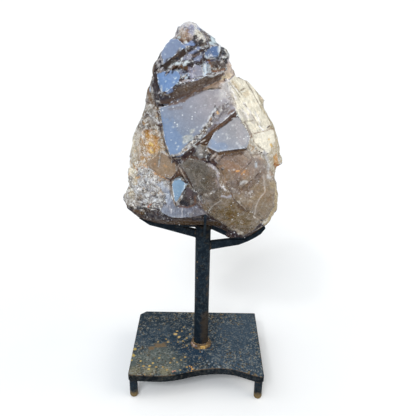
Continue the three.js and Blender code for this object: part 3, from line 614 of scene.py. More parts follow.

# The body's colour, mostly its own, drifts from place to place: a place, the colour there and its reach.
DRIFT = {
    "cream_shoulder": ((50, -45, 178), (252, 246, 226), 34),
    "pale_plate": ((75, -42, 136), (250, 244, 226), 24),
    "tan_flank": ((100, 10, 130), (212, 196, 158), 34),
    "brown_knee": ((33, -69, 122), (150, 128, 114), 20),
    "rusty_veil": ((42, -66, 106), (166, 134, 104), 12),
    "mauve_side": ((66, -60, 108), (170, 150, 138), 20),
    "brown_mass": ((60, -62, 74), (158, 138, 112), 26),
    "olive_toe": ((36, -66, 42), (118, 99, 66), 26),
    "dark_olive": ((-5, -71, 97), (94, 88, 76), 20),
    "brown_olive": ((8, -72, 70), (108, 94, 78), 14),
    "pale_brow": ((-66, -36, 172), (176, 170, 160), 18),
    "grey_cheek": ((-72, -34, 150), (146, 132, 114), 18),
    "gold_inclusion": ((-68, -46, 132), (212, 168, 92), 12),
    "lilac_side": ((-90, -18, 122), (210, 198, 174), 24),
    "silver_grain": ((-72, -58, 72), (208, 204, 198), 24),
    # Painted shade on the crown's left edge, the side away from the light.
    "shaded_left_edge": ((-60, -30, 205), (70, 56, 46), 18),
    "brown_lump": ((-73, -14, 190), (112, 88, 64), 12),
    # Painted shade under the stone.
    "underside": ((-30, -30, 10), (52, 41, 31), 26),
    "back_frost": ((0, 72, 165), (138, 124, 108), 34),
    "back_smoke": ((0, 60, 50), (100, 80, 60), 36),
    "back_clear": ((-44, 60, 112), (96, 78, 60), 24),
    "back_amber": ((40, 62, 84), (142, 108, 72), 22),
    "back_cream": ((56, 46, 164), (192, 176, 150), 22),
    "back_dusk": ((8, 74, 96), (106, 90, 78), 18),
    "back_neck": ((-20, 40, 200), (88, 72, 60), 18),
    "left_smoke": ((-96, 24, 78), (116, 94, 70), 26),
    "left_veil": ((-84, 14, 150), (158, 144, 124), 24),
    "right_smoke": ((92, 24, 66), (120, 98, 72), 26),
    "knob_back": ((-20, 0, 262), (176, 168, 172), 16),
    "crown_right": ((26, -20, 238), (120, 116, 122), 12),
    "right_ear": ((33, -8, 216), (198, 180, 164), 14),
}

# Clefts packed with broken quartz: a pod runs from one place to another, so many mm either side.
PACKED = {
    "right_ear_foot": ((22, -26, 211), (24, 14, 210), 9),
    "right_ear_side": ((20, -20, 229), (20, 0, 229), 8),
    "left_ear_side": ((-56, -24, 214), (-54, -8, 222), 12),
    "brim_foot_left": ((-52, -44, 183), (-20, -46, 192), 4),
    "brim_foot_right": ((-20, -46, 192), (24, -33, 212), 5),
    "bank_top": ((2, -60, 116), (14, -60, 106), 5),
    "bank_low": ((14, -60, 106), (29, -68, 84), 5),
    "olive_wall": ((-37, -65, 117), (-24, -61, 92), 4.5),
    "pocket_corner": ((-10, -70, 64), (-4, -70, 66), 5),
    "pocket_end": ((-10, -70, 60), (1, -70, 57), 5.5),
    "plate_seam": ((58, -52, 146), (80, -26, 149), 4),
    "knee_seam": ((64, -48, 127), (79, -38, 121), 4),
    "shoulder_seam": ((28, -48, 194), (53, -53, 152), 4),
    "brow_seam": ((-75, -36, 153), (-58, -46, 154), 4),
    "knee_crack": ((49, -64, 114), (57, -63, 121), 3.5),
    "toe_seam": ((68, -60, 38), (80, -56, 39), 4),
    "toe_lip": ((38, -49, 12), (81, -45, 31), 11),
    "cheek_fill": ((-96, -38, 74), (-96, -37, 98), 5.5),
    "cheek_pit_high": ((-67, -65, 91), (-60, -65, 89), 5),
    "cheek_pit_low": ((-86, -52, 74), (-81, -54, 73), 5),
    "right_cleft": ((30, -14, 212), (30, 18, 212), 8),
    "left_cleft": ((-38, 14, 217), (-54, 6, 216), 8),
    "right_ear_tip": ((27, -14, 212), (27, -13, 223), 7),
    "brim_foot_low": ((6, -41, 201), (22, -38, 206), 4),
}
# Corners worn round by handling: where, and how far about.
WORN = {
    "cheek_ledge": ((-101, -39, 92), 13),
    "left_ear_fin": ((-63, -41, 215), 6),
    "right_ear_fin": ((33, -8, 217), 13),
}

# Marks on the skin: colour, strength, glitter, half width in mm and one or more lines. A line is its
# stops, across and down in the camera's frame, 416 wide, laid on the stone along the line of sight.
# Some marks are painted light: the glint, sheen, mirror and sky marks are painted highlights and reflections,
# and the shade and shadow marks are painted shade.
MARKS = {
    # the knob at the point
    "knob_tan": ((188, 160, 130), 0.8, 0.3, 6.0, (181, 31, 186, 36)),
    "knob_streaks": ((146, 110, 76), 0.8, 0.1, 1.7, (188, 30, 187, 36, 188, 41),
        (179, 32, 178, 37, 181, 40)),
    "knob_frost": ((222, 219, 224), 0.75, 0.2, 5.5, (182, 26, 189, 23)),
    "knob_top": ((236, 232, 230), 0.75, 0.1, 3.2, (183, 22.5, 189, 22, 195, 25)),
    "knob_lilac": ((164, 168, 194), 0.85, 0, 4.5, (192, 28, 194, 33)),
    "knob_foot": ((92, 64, 44), 0.9, 0.1, 1.4, (177, 38, 181, 41, 185, 44), (188, 38, 189, 42)),
    "knob_foot_glint": ((216, 234, 242), 0.9, 0.2, 1.2, (185, 42.5, 188, 43), (178, 37, 180, 37.5)),
    "cream_patch": ((242, 240, 228), 0.97, 0.3, 4.6, (198, 31, 201, 37, 202, 42), (198, 34)),
    "cream_pits": ((112, 104, 94), 0.8, 0.1, 0.9, (199, 32.5, 200, 34), (202, 37, 201.5, 39)),
    # the stepped crown
    "tall_specks": ((198, 216, 228), 0.7, 0, 0.9, (166, 47), (165.5, 54.5), (173, 42.5), (161, 52)),
    "black_notch": ((44, 36, 33), 0.96, 0, 2.6, (195, 37, 195, 42, 192, 46)),
    "black_step": ((56, 47, 42), 0.97, 0, 4.6, (200, 43.5, 194, 47, 188, 50)),
    "brown_step": ((64, 53, 46), 0.97, 0, 4.4, (186, 48, 183, 54, 181, 58)),
    # Painted sky reflection: the blue of the neck and of the sliver. The neck's glints are painted
    # highlights.
    "blue_neck": ((126, 150, 196), 0.92, 0, 2.4, (183, 47, 188, 45, 192, 43.5)),
    "neck_glints": ((204, 210, 214), 0.85, 0.1, 0.9, (186, 46, 186.5, 51), (180, 48, 180, 51)),
    "blue_sliver": ((146, 160, 196), 0.96, 0, 1.7, (190, 54.5, 195, 51, 199, 48)),
    "sliver_rim": ((216, 230, 236), 0.88, 0.2, 0.8, (200, 47.5, 204, 46.5, 209, 46)),
    "dark_channel": ((50, 41, 36), 0.97, 0, 3.0, (190, 58, 199, 52.5, 204, 49.5, 209, 48)),
    "rusty_channel": ((96, 70, 50), 0.85, 0.1, 1.3, (190, 55.5, 195, 56, 200, 53)),
    "lilac_plate": ((136, 146, 176), 0.88, 0, 2.8, (197, 60, 201, 57, 202, 55)),
    "grey_plate": ((150, 154, 180), 0.75, 0.3, 3.2, (184, 59, 189, 58)),
    "dark_ticks": ((60, 44, 36), 0.92, 0, 1.0, (201, 51, 203, 55, 205, 60),
        (195, 62, 199, 62, 204, 63.5), (190, 64, 193, 64), (182, 61, 187, 60, 190, 61)),
    "mirror_rim": ((208, 226, 238), 0.92, 0.2, 1.2, (205, 56, 207, 58, 213, 58.5, 217, 58),
        (219, 46, 218.5, 51, 219, 56)),
    "mirror_glint": ((248, 250, 252), 0.96, 0, 1.3, (211, 55.3)),
    "mirror_deep": ((92, 124, 172), 0.6, 0, 4.0, (214, 50, 216, 54)),
    "frost_brow": ((208, 228, 236), 0.94, 0.1, 4.8, (211, 43, 214, 40), (217, 41, 218, 43)),
    "brow_gap": ((46, 46, 52), 0.9, 0.1, 1.2, (215, 44, 218, 44), (209, 36, 210, 38)),
    "dark_brow": ((76, 60, 50), 0.92, 0.1, 1.9, (202, 46, 206, 42, 210, 40)),
    "jet_spots": ((16, 16, 20), 0.96, 0, 2.6, (222, 48, 222, 53), (218, 59, 219, 59.5)),
    "silver_ear": ((132, 138, 132), 0.85, 0.9, 3.0, (224, 47, 227, 50, 227, 55)),
    "ear_pits": ((30, 28, 28), 0.94, 0, 1.5, (225, 52, 226, 55), (224, 58, 226, 59), (229, 52, 229, 55)),
    # Painted glints on the silver ear.
    "silver_ear_glints": ((238, 242, 240), 0.94, 0, 1.0, (223, 46, 226, 48), (228, 52, 228, 55),
        (220, 45, 220, 51), (223, 57, 226, 57)),
    "ear_lilac": ((196, 190, 198), 0.85, 0.1, 2.6, (228, 60, 230, 62), (229, 64)),
    "ear_tan": ((204, 186, 170), 0.95, 0.1, 6.5, (229, 67, 231, 72), (226, 73, 229, 75)),
    "ear_side": ((204, 188, 176), 0.95, 0.2, 5.5, (231, 62, 232, 67, 232, 71)),
    "dusky_ground": ((76, 62, 54), 0.95, 0.1, 4.6, (213, 65, 219, 63, 225, 64)),
    "dusky_flecks": ((224, 224, 222), 0.9, 0.2, 0.9, (213, 69), (216, 69), (220, 68), (221, 62, 223, 61)),
    "rust_lines": ((134, 90, 54), 0.92, 0, 1.2, (211, 71, 217, 71.5, 225, 69), (209, 61, 211, 66)),
    "lozenge": ((212, 230, 246), 0.96, 0, 3.6, (205, 65, 204.5, 70, 205.5, 75)),
    "lozenge_side": ((190, 206, 218), 0.85, 0.4, 2.2, (208, 66, 210, 72)),
    "white_lip": ((228, 230, 232), 0.9, 0.2, 0.9, (206, 75.5, 213, 76), (214, 76, 219, 73, 223, 72)),
    "dark_lip": ((84, 64, 50), 0.9, 0, 1.7, (207, 74, 210, 74), (215, 78, 219, 75, 222, 74)),
    "middle_light": ((156, 158, 176), 0.7, 0, 4.0, (197, 67, 199, 74)),
    "middle_left": ((160, 160, 190), 0.7, 0.4, 4.0, (190, 69, 191, 76)),
    "frost_teeth": ((226, 240, 246), 0.96, 0.1, 2.2, (173, 62, 176, 63.5, 179, 63), (181, 62, 182, 60),
        (169, 68, 172, 66), (184, 65, 187, 62)),
    "teeth_shade": ((92, 78, 72), 0.85, 0.2, 0.9, (175, 61, 180, 62), (183, 63, 184, 61),
        (187, 64, 188, 63)),
    "rust_bar": ((96, 70, 46), 0.96, 0, 2.7, (174, 67, 180, 67, 186, 68)),
    "rust_bar_tail": ((72, 52, 40), 0.9, 0, 1.0, (168, 68.5, 174, 68.5), (187, 70, 190, 72)),
    "dark_fold": ((64, 54, 46), 0.96, 0, 3.8, (164, 67, 168, 64, 172, 60)),
    "dark_fold_top": ((86, 66, 50), 0.9, 0.1, 1.5, (173, 58, 177, 55, 179, 50)),
    "dark_shards": ((40, 34, 36), 0.94, 0, 1.2, (183, 73, 187, 72), (182, 79, 183, 80),
        (187, 78, 190, 76.5)),
    # Painted glints on the shards.
    "shard_glints": ((186, 204, 228), 0.9, 0.1, 1.2, (182, 77, 184, 75), (185, 79, 189, 75),
        (186, 74, 188, 74)),
    "sky_mirror": ((118, 156, 210), 0.5, 0, 5.0, (163, 76, 164, 86), (168, 82, 168, 90)),
    "sky_mirror_glints": ((208, 230, 242), 0.85, 0, 1.0, (176, 70.5, 180, 71), (176, 78), (174, 82),
        (177, 84), (166, 81), (167, 89)),
    "sky_mirror_nick": ((42, 36, 36), 0.92, 0, 1.0, (173, 71, 172, 73)),
    "left_ear_shade": ((60, 47, 38), 0.96, 0, 5.4, (156, 64, 155, 74, 156, 85, 156, 96, 157, 104)),
    "left_ear_brown": ((116, 92, 68), 0.9, 0.1, 4.0, (149, 92, 150, 100, 154, 106)),
    "left_ear_frost": ((176, 176, 178), 0.85, 0.6, 1.5, (157, 61, 158, 66), (160, 67, 158, 70)),
    "left_ear_jet": ((34, 26, 24), 0.92, 0, 1.2, (160, 60, 161, 66), (159, 85, 158, 89),
        (159, 94, 160, 97)),
    "left_ear_glints": ((190, 206, 220), 0.88, 0.3, 0.9, (161, 86, 162, 92), (161, 95), (152, 79, 153, 81)),
    "outer_brown": ((136, 118, 100), 0.85, 0.1, 1.4, (154, 65, 153, 72, 153, 80)),
    # Painted sky reflection on a facet of the left ear.
    "blue_ear": ((170, 192, 222), 0.92, 0, 2.2, (150, 88, 150, 90)),
    "pale_hook": ((224, 220, 214), 0.92, 0, 0.9, (156, 101, 159, 101.5, 161, 104)),
    "brim_pit": ((50, 38, 33), 0.92, 0, 3.6, (162, 99, 167, 98)),
    "brim_foot": ((122, 94, 70), 0.9, 0, 2.2, (170, 104, 184, 100, 194, 92, 206, 88, 214, 84)),
    "brim_tan": ((168, 146, 128), 0.88, 0.1, 3.0, (207, 88, 214, 85.5, 222, 82)),
    "brim_toe": ((178, 162, 150), 0.96, 0.1, 3.0, (214, 89, 219, 88, 222, 86)),
    "brim_foot_deep": ((90, 68, 50), 0.92, 0, 3.0, (162, 103, 170, 101, 179, 98, 187, 94.5)),
    "upper_white": ((248, 244, 238), 0.95, 0.2, 4.0, (224, 84, 226, 90, 225, 94)),
    "upper_pink": ((204, 194, 188), 0.7, 0.4, 5.0, (230, 94, 233, 104)),
    "brim_sparkle": ((172, 162, 152), 0.8, 0.1, 0.8, (176, 92.5), (184, 87), (187, 86), (190, 87),
        (199, 85.5), (165, 94, 168, 95)),
    # the great front face and its chipped right border
    # Painted sky reflection, bluest low on the great face.
    "great_sky_reflection": ((116, 146, 188), 0.5, 0, 12.0, (165, 130, 175, 146)),
    # A darker band along the top of the great face, under the brim.
    "great_top_dark": ((122, 114, 116), 0.55, 0.1, 1.7, (169, 108, 175, 109, 181, 108)),
    "great_sheen": ((206, 202, 202), 0.7, 0.1, 7.0, (222, 95, 226, 89)),
    "grey_corner": ((122, 114, 116), 0.85, 0.4, 5.5, (215, 118, 220, 112, 227, 107)),
    "split_line": ((232, 238, 244), 0.9, 0.1, 1.1, (216, 108.5, 212, 112.5), (210, 116, 208, 121),
        (205, 124, 203.5, 125.5)),
    "split_shade": ((50, 40, 38), 0.92, 0, 0.9, (215, 106, 218, 110), (214, 113, 213, 117)),
    "gold_fleck": ((252, 206, 144), 0.96, 0, 1.2, (217.3, 112, 218, 113)),
    "chipped_border": ((120, 112, 108), 0.92, 1.0, 3.2, (211, 122, 204, 131, 198, 138, 192, 144, 184, 150)),
    "border_glints": ((230, 234, 232), 0.92, 0.3, 0.9, (185, 147.5, 190, 145), (193, 145, 196, 147),
        (199, 138, 203, 133), (200, 131, 201, 132)),
    "border_pits": ((46, 37, 34), 0.9, 0.1, 0.9, (189, 143, 191, 141), (183, 150, 186, 148),
        (197, 144, 200, 141), (186, 152, 190, 150)),
    "border_toe": ((182, 174, 162), 0.9, 0.6, 1.6, (172, 156, 178, 155, 182, 152)),
    "border_toe_shade": ((86, 70, 58), 0.9, 0.3, 1.7, (173, 159, 181, 158)),
    "frost_clusters": ((204, 214, 212), 0.65, 0.5, 3.0, (186, 137, 185, 141, 191, 138), (192, 131)),
    "great_specks": ((216, 226, 232), 0.88, 0, 0.9, (191, 106.5), (177.5, 126), (173, 127), (178, 146.5),
        (176, 143), (177, 149.5), (197, 127), (217, 107), (205, 105)),
    "riser_below_great": ((98, 72, 50), 0.96, 0, 3.6, (209, 134, 214, 129, 220, 125)),
    # Painted shadow in the hollow below the great face's lower tip.
    "shadow_below_great": ((56, 39, 31), 0.96, 0, 3.6, (185, 156, 190, 153, 194, 151)),
    "brown_link": ((116, 86, 62), 0.92, 0, 1.0, (228, 114, 234, 110)),
    "link_glint": ((234, 230, 224), 0.92, 0, 0.9, (226, 118, 225, 119)),
    "great_left_wall": ((72, 55, 45), 0.9, 0, 1.2, (157, 108, 159, 121, 161, 133, 164, 142, 167, 151)),
    "great_left_toe": ((58, 62, 70), 0.88, 0.2, 1.8, (167, 150, 169, 155)),
    # the second face
    "second_haze": ((192, 188, 192), 0.55, 0.1, 6.0, (238, 126, 243, 140)),
    # Painted sky reflection on the second face's lower left.
    "second_sky_reflection": ((132, 160, 198), 0.45, 0, 4.5, (214, 144, 224, 147)),
    "second_edge": ((198, 210, 226), 0.85, 0, 0.8, (207, 146, 212, 149, 218, 151, 232, 149.5, 246, 148)),
    "second_specks": ((232, 234, 238), 0.9, 0, 0.9, (232.5, 125.5), (226, 134.5), (227.3, 138),
        (229.8, 138.5), (241, 137), (246, 137), (233, 118.5, 235, 118.5), (237, 143, 240, 147)),
    "wall_below_second": ((98, 76, 54), 0.96, 0, 3.4, (219, 153.5, 232, 153.5, 243, 151)),
    "bridge_grey": ((146, 148, 150), 0.7, 0.1, 4.0, (199, 148, 200, 157)),
    "bridge_glints": ((226, 224, 218), 0.9, 0, 1.0, (200, 154.3, 201.5, 154.3), (201, 142, 205, 140),
        (206, 143)),
    "bridge_cracks": ((100, 86, 70), 0.88, 0, 0.8, (203, 144, 207, 154), (196, 158, 202, 161)),
    "hatching": ((74, 58, 48), 0.92, 0, 0.9, (208, 160, 214, 152.5), (212, 161, 218, 154),
        (219, 161, 223, 156)),
    "hatching_light": ((182, 172, 166), 0.85, 0.1, 0.8, (210, 160, 216, 153), (215, 160, 219, 156)),
    # the smoky front: olive, kneecap, mass and toe
    "dark_crescent": ((56, 47, 52), 0.94, 0, 1.5, (203, 160.5, 208, 162, 213, 164.5, 216, 165)),
    "lilac_bank": ((196, 193, 204), 0.88, 0.7, 1.7, (209, 165, 213, 167.5, 217, 171, 218, 176.5)),
    "bank_brown": ((128, 108, 88), 0.9, 0.2, 3.6, (219, 166, 222, 174, 226, 183)),
    "lilac_bank_tail": ((160, 152, 160), 0.75, 0.3, 2.2, (217, 180, 220, 186)),
    "white_fang": ((236, 236, 242), 0.94, 0.1, 1.5, (223, 187, 225.5, 190.5)),
    "lilac_shelf": ((208, 212, 228), 0.92, 0, 1.5, (222, 196, 227, 197, 231, 196)),
    "rusty_veil": ((168, 126, 86), 0.75, 0.1, 6.5, (226, 166, 236, 169, 244, 174)),
    "rusty_sparks": ((248, 178, 104), 0.96, 0, 1.3, (237, 171, 239, 171), (242, 174, 244.5, 171)),
    "ochre_patch": ((150, 118, 78), 0.75, 0.1, 4.0, (224, 172, 228, 178)),
    "blue_chip": ((222, 232, 242), 0.94, 0, 1.9, (256, 163.5, 256, 166)),
    "purple_shade": ((112, 94, 90), 0.6, 0.3, 5.5, (238, 178, 243, 187, 250, 193), (232, 184, 236, 192)),
    "white_chip": ((238, 238, 238), 0.94, 0.3, 2.0, (241.5, 183, 244, 181.5, 246.5, 183)),
    "small_chips": ((224, 220, 216), 0.88, 0, 0.9, (257.5, 183.5), (232, 188.5), (239, 193.5),
        (258, 167), (233.5, 169.5), (229, 171), (264, 166.5)),
    "speckle_patch": ((216, 208, 198), 0.8, 0.5, 1.3, (248, 194, 252, 192), (251, 197), (246, 192)),
    "rim_gold": ((198, 180, 140), 0.7, 0.1, 5.0, (274, 184, 277, 195, 277, 206, 271, 215, 266, 222)),
    "rim_white": ((234, 228, 214), 0.85, 0.3, 1.6, (277.5, 196, 278, 205), (264, 221, 267, 219)),
    "knee_soft": ((152, 128, 114), 0.9, 0.1, 2.0, (244, 167, 248, 163, 252, 159)),
    "second_side": ((160, 150, 140), 0.94, 0.1, 2.0, (245, 122, 248, 129, 251, 136)),
    "pocket_end": ((96, 78, 66), 0.95, 0.1, 2.6, (199, 203, 201, 207)),
    "brown_facet": ((116, 98, 92), 0.6, 0.1, 4.0, (250, 186, 257, 178)),
    "cross_cracks": ((92, 74, 68), 0.88, 0, 0.9, (242, 188, 250, 182, 258, 174), (238, 183, 240, 190)),
    "crossing_light": ((178, 168, 162), 0.7, 0, 0.8, (250, 180, 257, 173)),
    "knee_edge": ((84, 66, 54), 0.85, 0, 1.2, (230, 190, 233, 198, 240, 206, 248, 212)),
    "toe_edge": ((178, 164, 146), 0.8, 0, 0.8, (254, 216, 260, 221, 264, 224)),
    "toe_shade": ((98, 72, 44), 0.88, 0, 2.1, (238, 206, 244, 210)),
    "vein": ((218, 210, 202), 0.92, 0, 0.9, (263.5, 176, 264.5, 186, 265, 192, 259, 199, 256, 206, 254.5,
        214)),
    "knee_scratches": ((118, 100, 92), 0.7, 0, 0.7, (247, 150, 253, 157), (250, 154, 256, 162),
        (242, 152, 248, 158), (256, 170, 262, 175)),
    "olive_vein": ((196, 190, 180), 0.85, 0.1, 0.7, (213, 206, 217, 203, 221.5, 200), (209, 211, 212, 206)),
    "olive_scratches": ((154, 146, 134), 0.75, 0, 0.8, (193, 172, 196, 180),
        (199, 181, 203, 187, 209, 191), (208, 198, 210, 194)),
    "olive_specks": ((214, 208, 198), 0.88, 0, 0.8, (204.5, 178.5), (201.5, 199.5), (193.5, 197),
        (212, 206.5), (208.5, 210.5), (228, 205.5), (262.5, 203.5), (266, 206), (257, 222.5)),
    "toe_frost": ((182, 168, 146), 0.75, 0.4, 1.7, (228, 228, 236, 230, 242, 233)),
    "toe_glints": ((230, 226, 216), 0.88, 0.3, 1.0, (238, 233, 239, 234), (243, 236), (263, 223, 267, 221)),
    "olive_wall": ((64, 49, 42), 0.92, 0, 1.2, (176, 163, 180, 172, 185, 180, 190, 190, 196, 203, 206, 213,
        216, 221)),
    "olive_wall_light": ((156, 144, 132), 0.85, 0, 0.8, (178.5, 166, 182, 172, 185, 178)),
    # the little kite, its pocket and the striated face
    "kite_rim": ((180, 206, 228), 0.85, 0, 0.9, (173, 182, 176, 178.5, 181, 178.5), (186.5, 184, 182, 192)),
    "kite_glint": ((242, 244, 242), 0.96, 0, 1.1, (181.8, 195.5, 181.8, 197)),
    "kite_left_wall": ((84, 70, 60), 0.94, 0, 1.8, (171, 179, 171, 190, 173, 198, 175, 204)),
    "pocket_pit": ((38, 34, 42), 0.95, 0, 2.6, (181, 203, 184, 202, 187, 205)),
    "pocket_wall": ((98, 86, 88), 0.9, 0, 3.6, (188, 189, 190, 197)),
    "pocket_rust": ((110, 76, 48), 0.92, 0, 1.2, (179, 206, 187, 207.5, 194, 205), (195, 196, 195, 203)),
    "striated_lines": ((192, 190, 196), 0.85, 0, 0.8, (182, 208, 182, 217), (170, 206, 171, 213),
        (166, 200, 167, 207)),
    "striated_foot": ((44, 36, 32), 0.92, 0, 1.2, (160, 211, 166, 216, 175, 219, 188, 218)),
    "striated_right": ((106, 98, 98), 0.75, 0.1, 3.5, (196, 211, 204, 214), (191, 215, 198, 217)),
    "striated_left": ((166, 178, 198), 0.85, 0.2, 3.8, (160, 184, 166, 190, 168, 200)),
    # the rough, golden left side
    "golden_ground": ((208, 162, 96), 0.8, 0.8, 9.0, (145, 131, 145, 141, 143, 152, 140, 163), (147, 158)),
    "cream_ground": ((230, 214, 180), 0.7, 0.8, 5.0, (135, 150, 134, 166, 136, 182), (131, 192)),
    "silver_ground": ((172, 178, 192), 0.6, 1.0, 8.0, (148, 182, 150, 194, 156, 203), (140, 176)),
    "dark_ground": ((118, 110, 104), 0.6, 1.0, 5.5, (141, 202, 150, 205), (146, 127, 141, 124)),
    "gold_heart": ((222, 164, 70), 0.92, 0.4, 6.0, (148, 134, 151, 142, 150, 149), (155, 141, 156, 148)),
    "gold_sparks": ((255, 228, 146), 0.96, 0, 1.4, (150, 143, 152.5, 145), (150, 150, 152, 152)),
    "gold_rust": ((174, 120, 56), 0.88, 0.3, 2.2, (146, 131, 151, 130), (156, 137, 158, 138)),
    "white_plug": ((238, 238, 242), 0.94, 0, 1.3, (148, 153.5, 150, 155)),
    "brow_facet": ((152, 148, 146), 0.85, 0.1, 3.6, (150, 119, 153, 117, 153, 122)),
    "brow_edge": ((230, 234, 238), 0.9, 0, 0.8, (150, 115, 155, 119, 159, 123)),
    "brow_frost": ((208, 206, 200), 0.75, 0.5, 4.0, (147, 107, 151, 106)),
    "rust_bits": ((192, 110, 60), 0.92, 0, 1.0, (135.5, 166, 137, 171), (142, 168), (148, 207, 151, 204)),
    "dark_bits": ((40, 31, 28), 0.92, 0, 0.9, (149.5, 207, 152, 204.5), (162, 197, 164, 196), (145, 197)),
    "silver_bits": ((220, 226, 232), 0.9, 0.3, 1.1, (147, 187), (149, 195), (157, 190, 157, 196),
        (147, 174, 150, 172)),
    "pale_flank": ((226, 216, 190), 0.75, 0.6, 5.0, (133, 140, 132, 155), (134, 165, 135, 178),
        (130, 190, 131, 198)),
    "amber_edge": ((206, 150, 84), 0.88, 0, 1.0, (153, 172, 160, 176, 168, 180), (144, 165, 148, 168)),
    "amber_sparks": ((218, 170, 116), 0.85, 0, 1.0, (164, 165, 167, 167), (155, 164), (159, 158)),
    "amber_wall": ((70, 53, 43), 0.9, 0, 1.3, (169, 157, 176, 163, 178, 170, 174, 176, 171, 181)),
    # Painted shade on the left underside.
    "left_underside_shade": ((44, 35, 28), 0.96, 0.1, 4.6, (128, 208, 136, 212, 148, 214.5, 158, 217, 168, 220)),
    "bright_grains": ((226, 232, 240), 0.85, 0.6, 2.0, (139, 182, 145, 185), (146, 178, 151, 181),
        (152, 186, 157, 189), (141, 193, 148, 195), (153, 199, 160, 200), (135, 189, 137, 193),
        (146, 200, 150, 202)),
    "dark_grains": ((62, 54, 52), 0.85, 0.3, 1.5, (138, 199, 143, 201), (150, 197, 156, 195),
        (158, 204, 162, 206), (147, 190, 150, 192), (155, 193, 157, 193), (140, 204, 147, 205),
        (160, 197, 164, 196)),
    "cream_edge": ((242, 232, 206), 0.85, 0.3, 2.2, (128, 184, 126, 192, 125, 198), (131, 160, 130, 172),
        (134, 140, 132, 150)),
    "gold_grains": ((208, 160, 96), 0.8, 0.3, 1.6, (141, 160, 144, 157), (136, 178, 139, 177),
        (133, 164, 135, 168), (142, 140, 144, 145), (156, 131, 158, 134), (138, 148, 139, 152)),
    "underside_gold": ((100, 76, 48), 0.75, 0.1, 2.6, (134, 211, 142, 213)),
    # the cream shoulder and the golden nub
    "plate_joint": ((146, 122, 102), 0.94, 0, 0.7, (251, 137, 252, 134, 258, 132.5, 263, 131.5, 268, 130,
        274, 128.5)),
    "long_joint": ((146, 128, 112), 0.88, 0, 0.7, (263, 131, 259, 127, 256, 121, 252, 115, 248, 109)),
    "joint_whites": ((250, 250, 250), 0.92, 0, 1.2, (259, 126, 263, 130), (227, 79, 233, 86, 238, 91)),
    "shoulder_whites": ((252, 248, 244), 0.8, 0.1, 2.0, (232, 90, 236, 98), (244, 104, 250, 112),
        (255, 112, 260, 122), (242, 110, 248, 117)),
    "shoulder_greys": ((196, 190, 186), 0.6, 0.2, 3.0, (240, 112, 246, 119), (250, 116, 254, 122)),
    "cross_joint": ((152, 142, 128), 0.85, 0, 0.7, (241, 123, 248, 121, 254, 120.5)),
    "shoulder_joints": ((130, 114, 96), 0.86, 0, 0.8, (229, 82, 235, 90, 240, 97),
        (233, 82, 238, 90, 242, 95), (240, 91, 245, 88), (246, 82, 252, 91, 256, 99),
        (254, 95, 259, 104, 262, 110)),
    "rim_joint": ((140, 124, 100), 0.86, 0, 0.8, (264, 112, 269, 119, 273, 125)),
    "short_joints": ((150, 136, 118), 0.8, 0, 0.7, (237, 96, 240, 101), (233, 97, 236, 104),
        (244, 104, 247, 107)),
    "tan_flush": ((214, 196, 164), 0.6, 0, 3.2, (233, 83, 238, 88), (224, 77, 231, 76), (245, 95, 248, 92)),
    "olive_rim": ((182, 168, 130), 0.6, 0.1, 3.4, (252, 84, 258, 95, 262, 106, 266, 114)),
    "plate_edge": ((150, 134, 112), 0.88, 0, 0.8, (252, 136, 254, 142, 259, 147, 264, 150, 266, 153)),
    "flank_frost": ((232, 232, 234), 0.85, 0.5, 2.4, (264, 152, 267, 160, 269, 168, 269, 177)),
    "golden_nub": ((208, 150, 66), 0.95, 0.2, 5.2, (276, 158, 277, 163)),
    "golden_nub_deep": ((160, 102, 40), 0.94, 0, 2.8, (275, 164, 277, 166)),
    "gold_spots": ((228, 186, 96), 0.88, 0, 1.4, (271, 145, 272, 147), (269, 139)),
    "tan_seam": ((186, 154, 116), 0.85, 0, 1.4, (250, 145, 254, 148, 251, 151)),
}


# Where the grounds begin and end, in mm from the seat, and how a facet leans there, in degrees.
FRONTAL, REAR_FROM = 0.25, 12
CROWN_FOOT, CROWN_LEFT, CROWN_RIGHT, SLIVER_LEAN = 172, -58, 27, 12
BRIM_TOP, BRIM_SLOPE, BRIM_BACK = 214, 0.3, -38
EAR_FOOT, EAR_LEFT = 180, -70
UNDER_LEAN, UNDER_TOP, LIP_LEAN, LIP_TOP, LIP_RIGHT = -30, 60, -8, 50, 10
UNDERCUT_LEAN, UNDERCUT_LEFT = -22, -50
GRAIN_RIGHT, GRAIN_TOP = -26, 108
WALL_LEAN, WALL_REACH = 6, 34


def ground_at(centre, normal):
    """Which broken ground a facet belongs to, from where it is and which way it looks."""
    lean = math.degrees(math.asin(max(-1, min(1, normal.z))))
    frontal = normal.y < FRONTAL
    if centre.z > CROWN_FOOT and frontal and CROWN_LEFT < centre.x < CROWN_RIGHT:
        if lean >= SLIVER_LEAN:
            return "sliver"
        in_brim = centre.z < BRIM_TOP + BRIM_SLOPE * centre.x and centre.y < BRIM_BACK
        return "brim" if in_brim else "riser"
    if centre.z > EAR_FOOT and frontal and EAR_LEFT < centre.x < CROWN_RIGHT:
        return "riser"
    if lean < UNDER_LEAN and centre.z < UNDER_TOP:
        return "under"
    if lean < LIP_LEAN and centre.z < LIP_TOP and centre.x < LIP_RIGHT:
        return "under"
    if lean < UNDERCUT_LEAN and frontal and (centre.x > UNDERCUT_LEFT or centre.z > GRAIN_TOP):
        return "undercut"
    if centre.x < GRAIN_RIGHT and centre.z < GRAIN_TOP and frontal:
        return "grain"
    if centre.y > REAR_FROM:
        return "rear"
    return "riser" if frontal and lean < WALL_LEAN and abs(centre.x) < WALL_REACH else "side"


original = bmesh.new()
original.from_mesh(frame["nodes"]["smoky_quartz"].data)
bmesh.ops.remove_doubles(original, verts=original.verts, dist=SAME_SPOT_MM * MM)
bmesh.ops.triangulate(original, faces=original.faces)
original.normal_update()

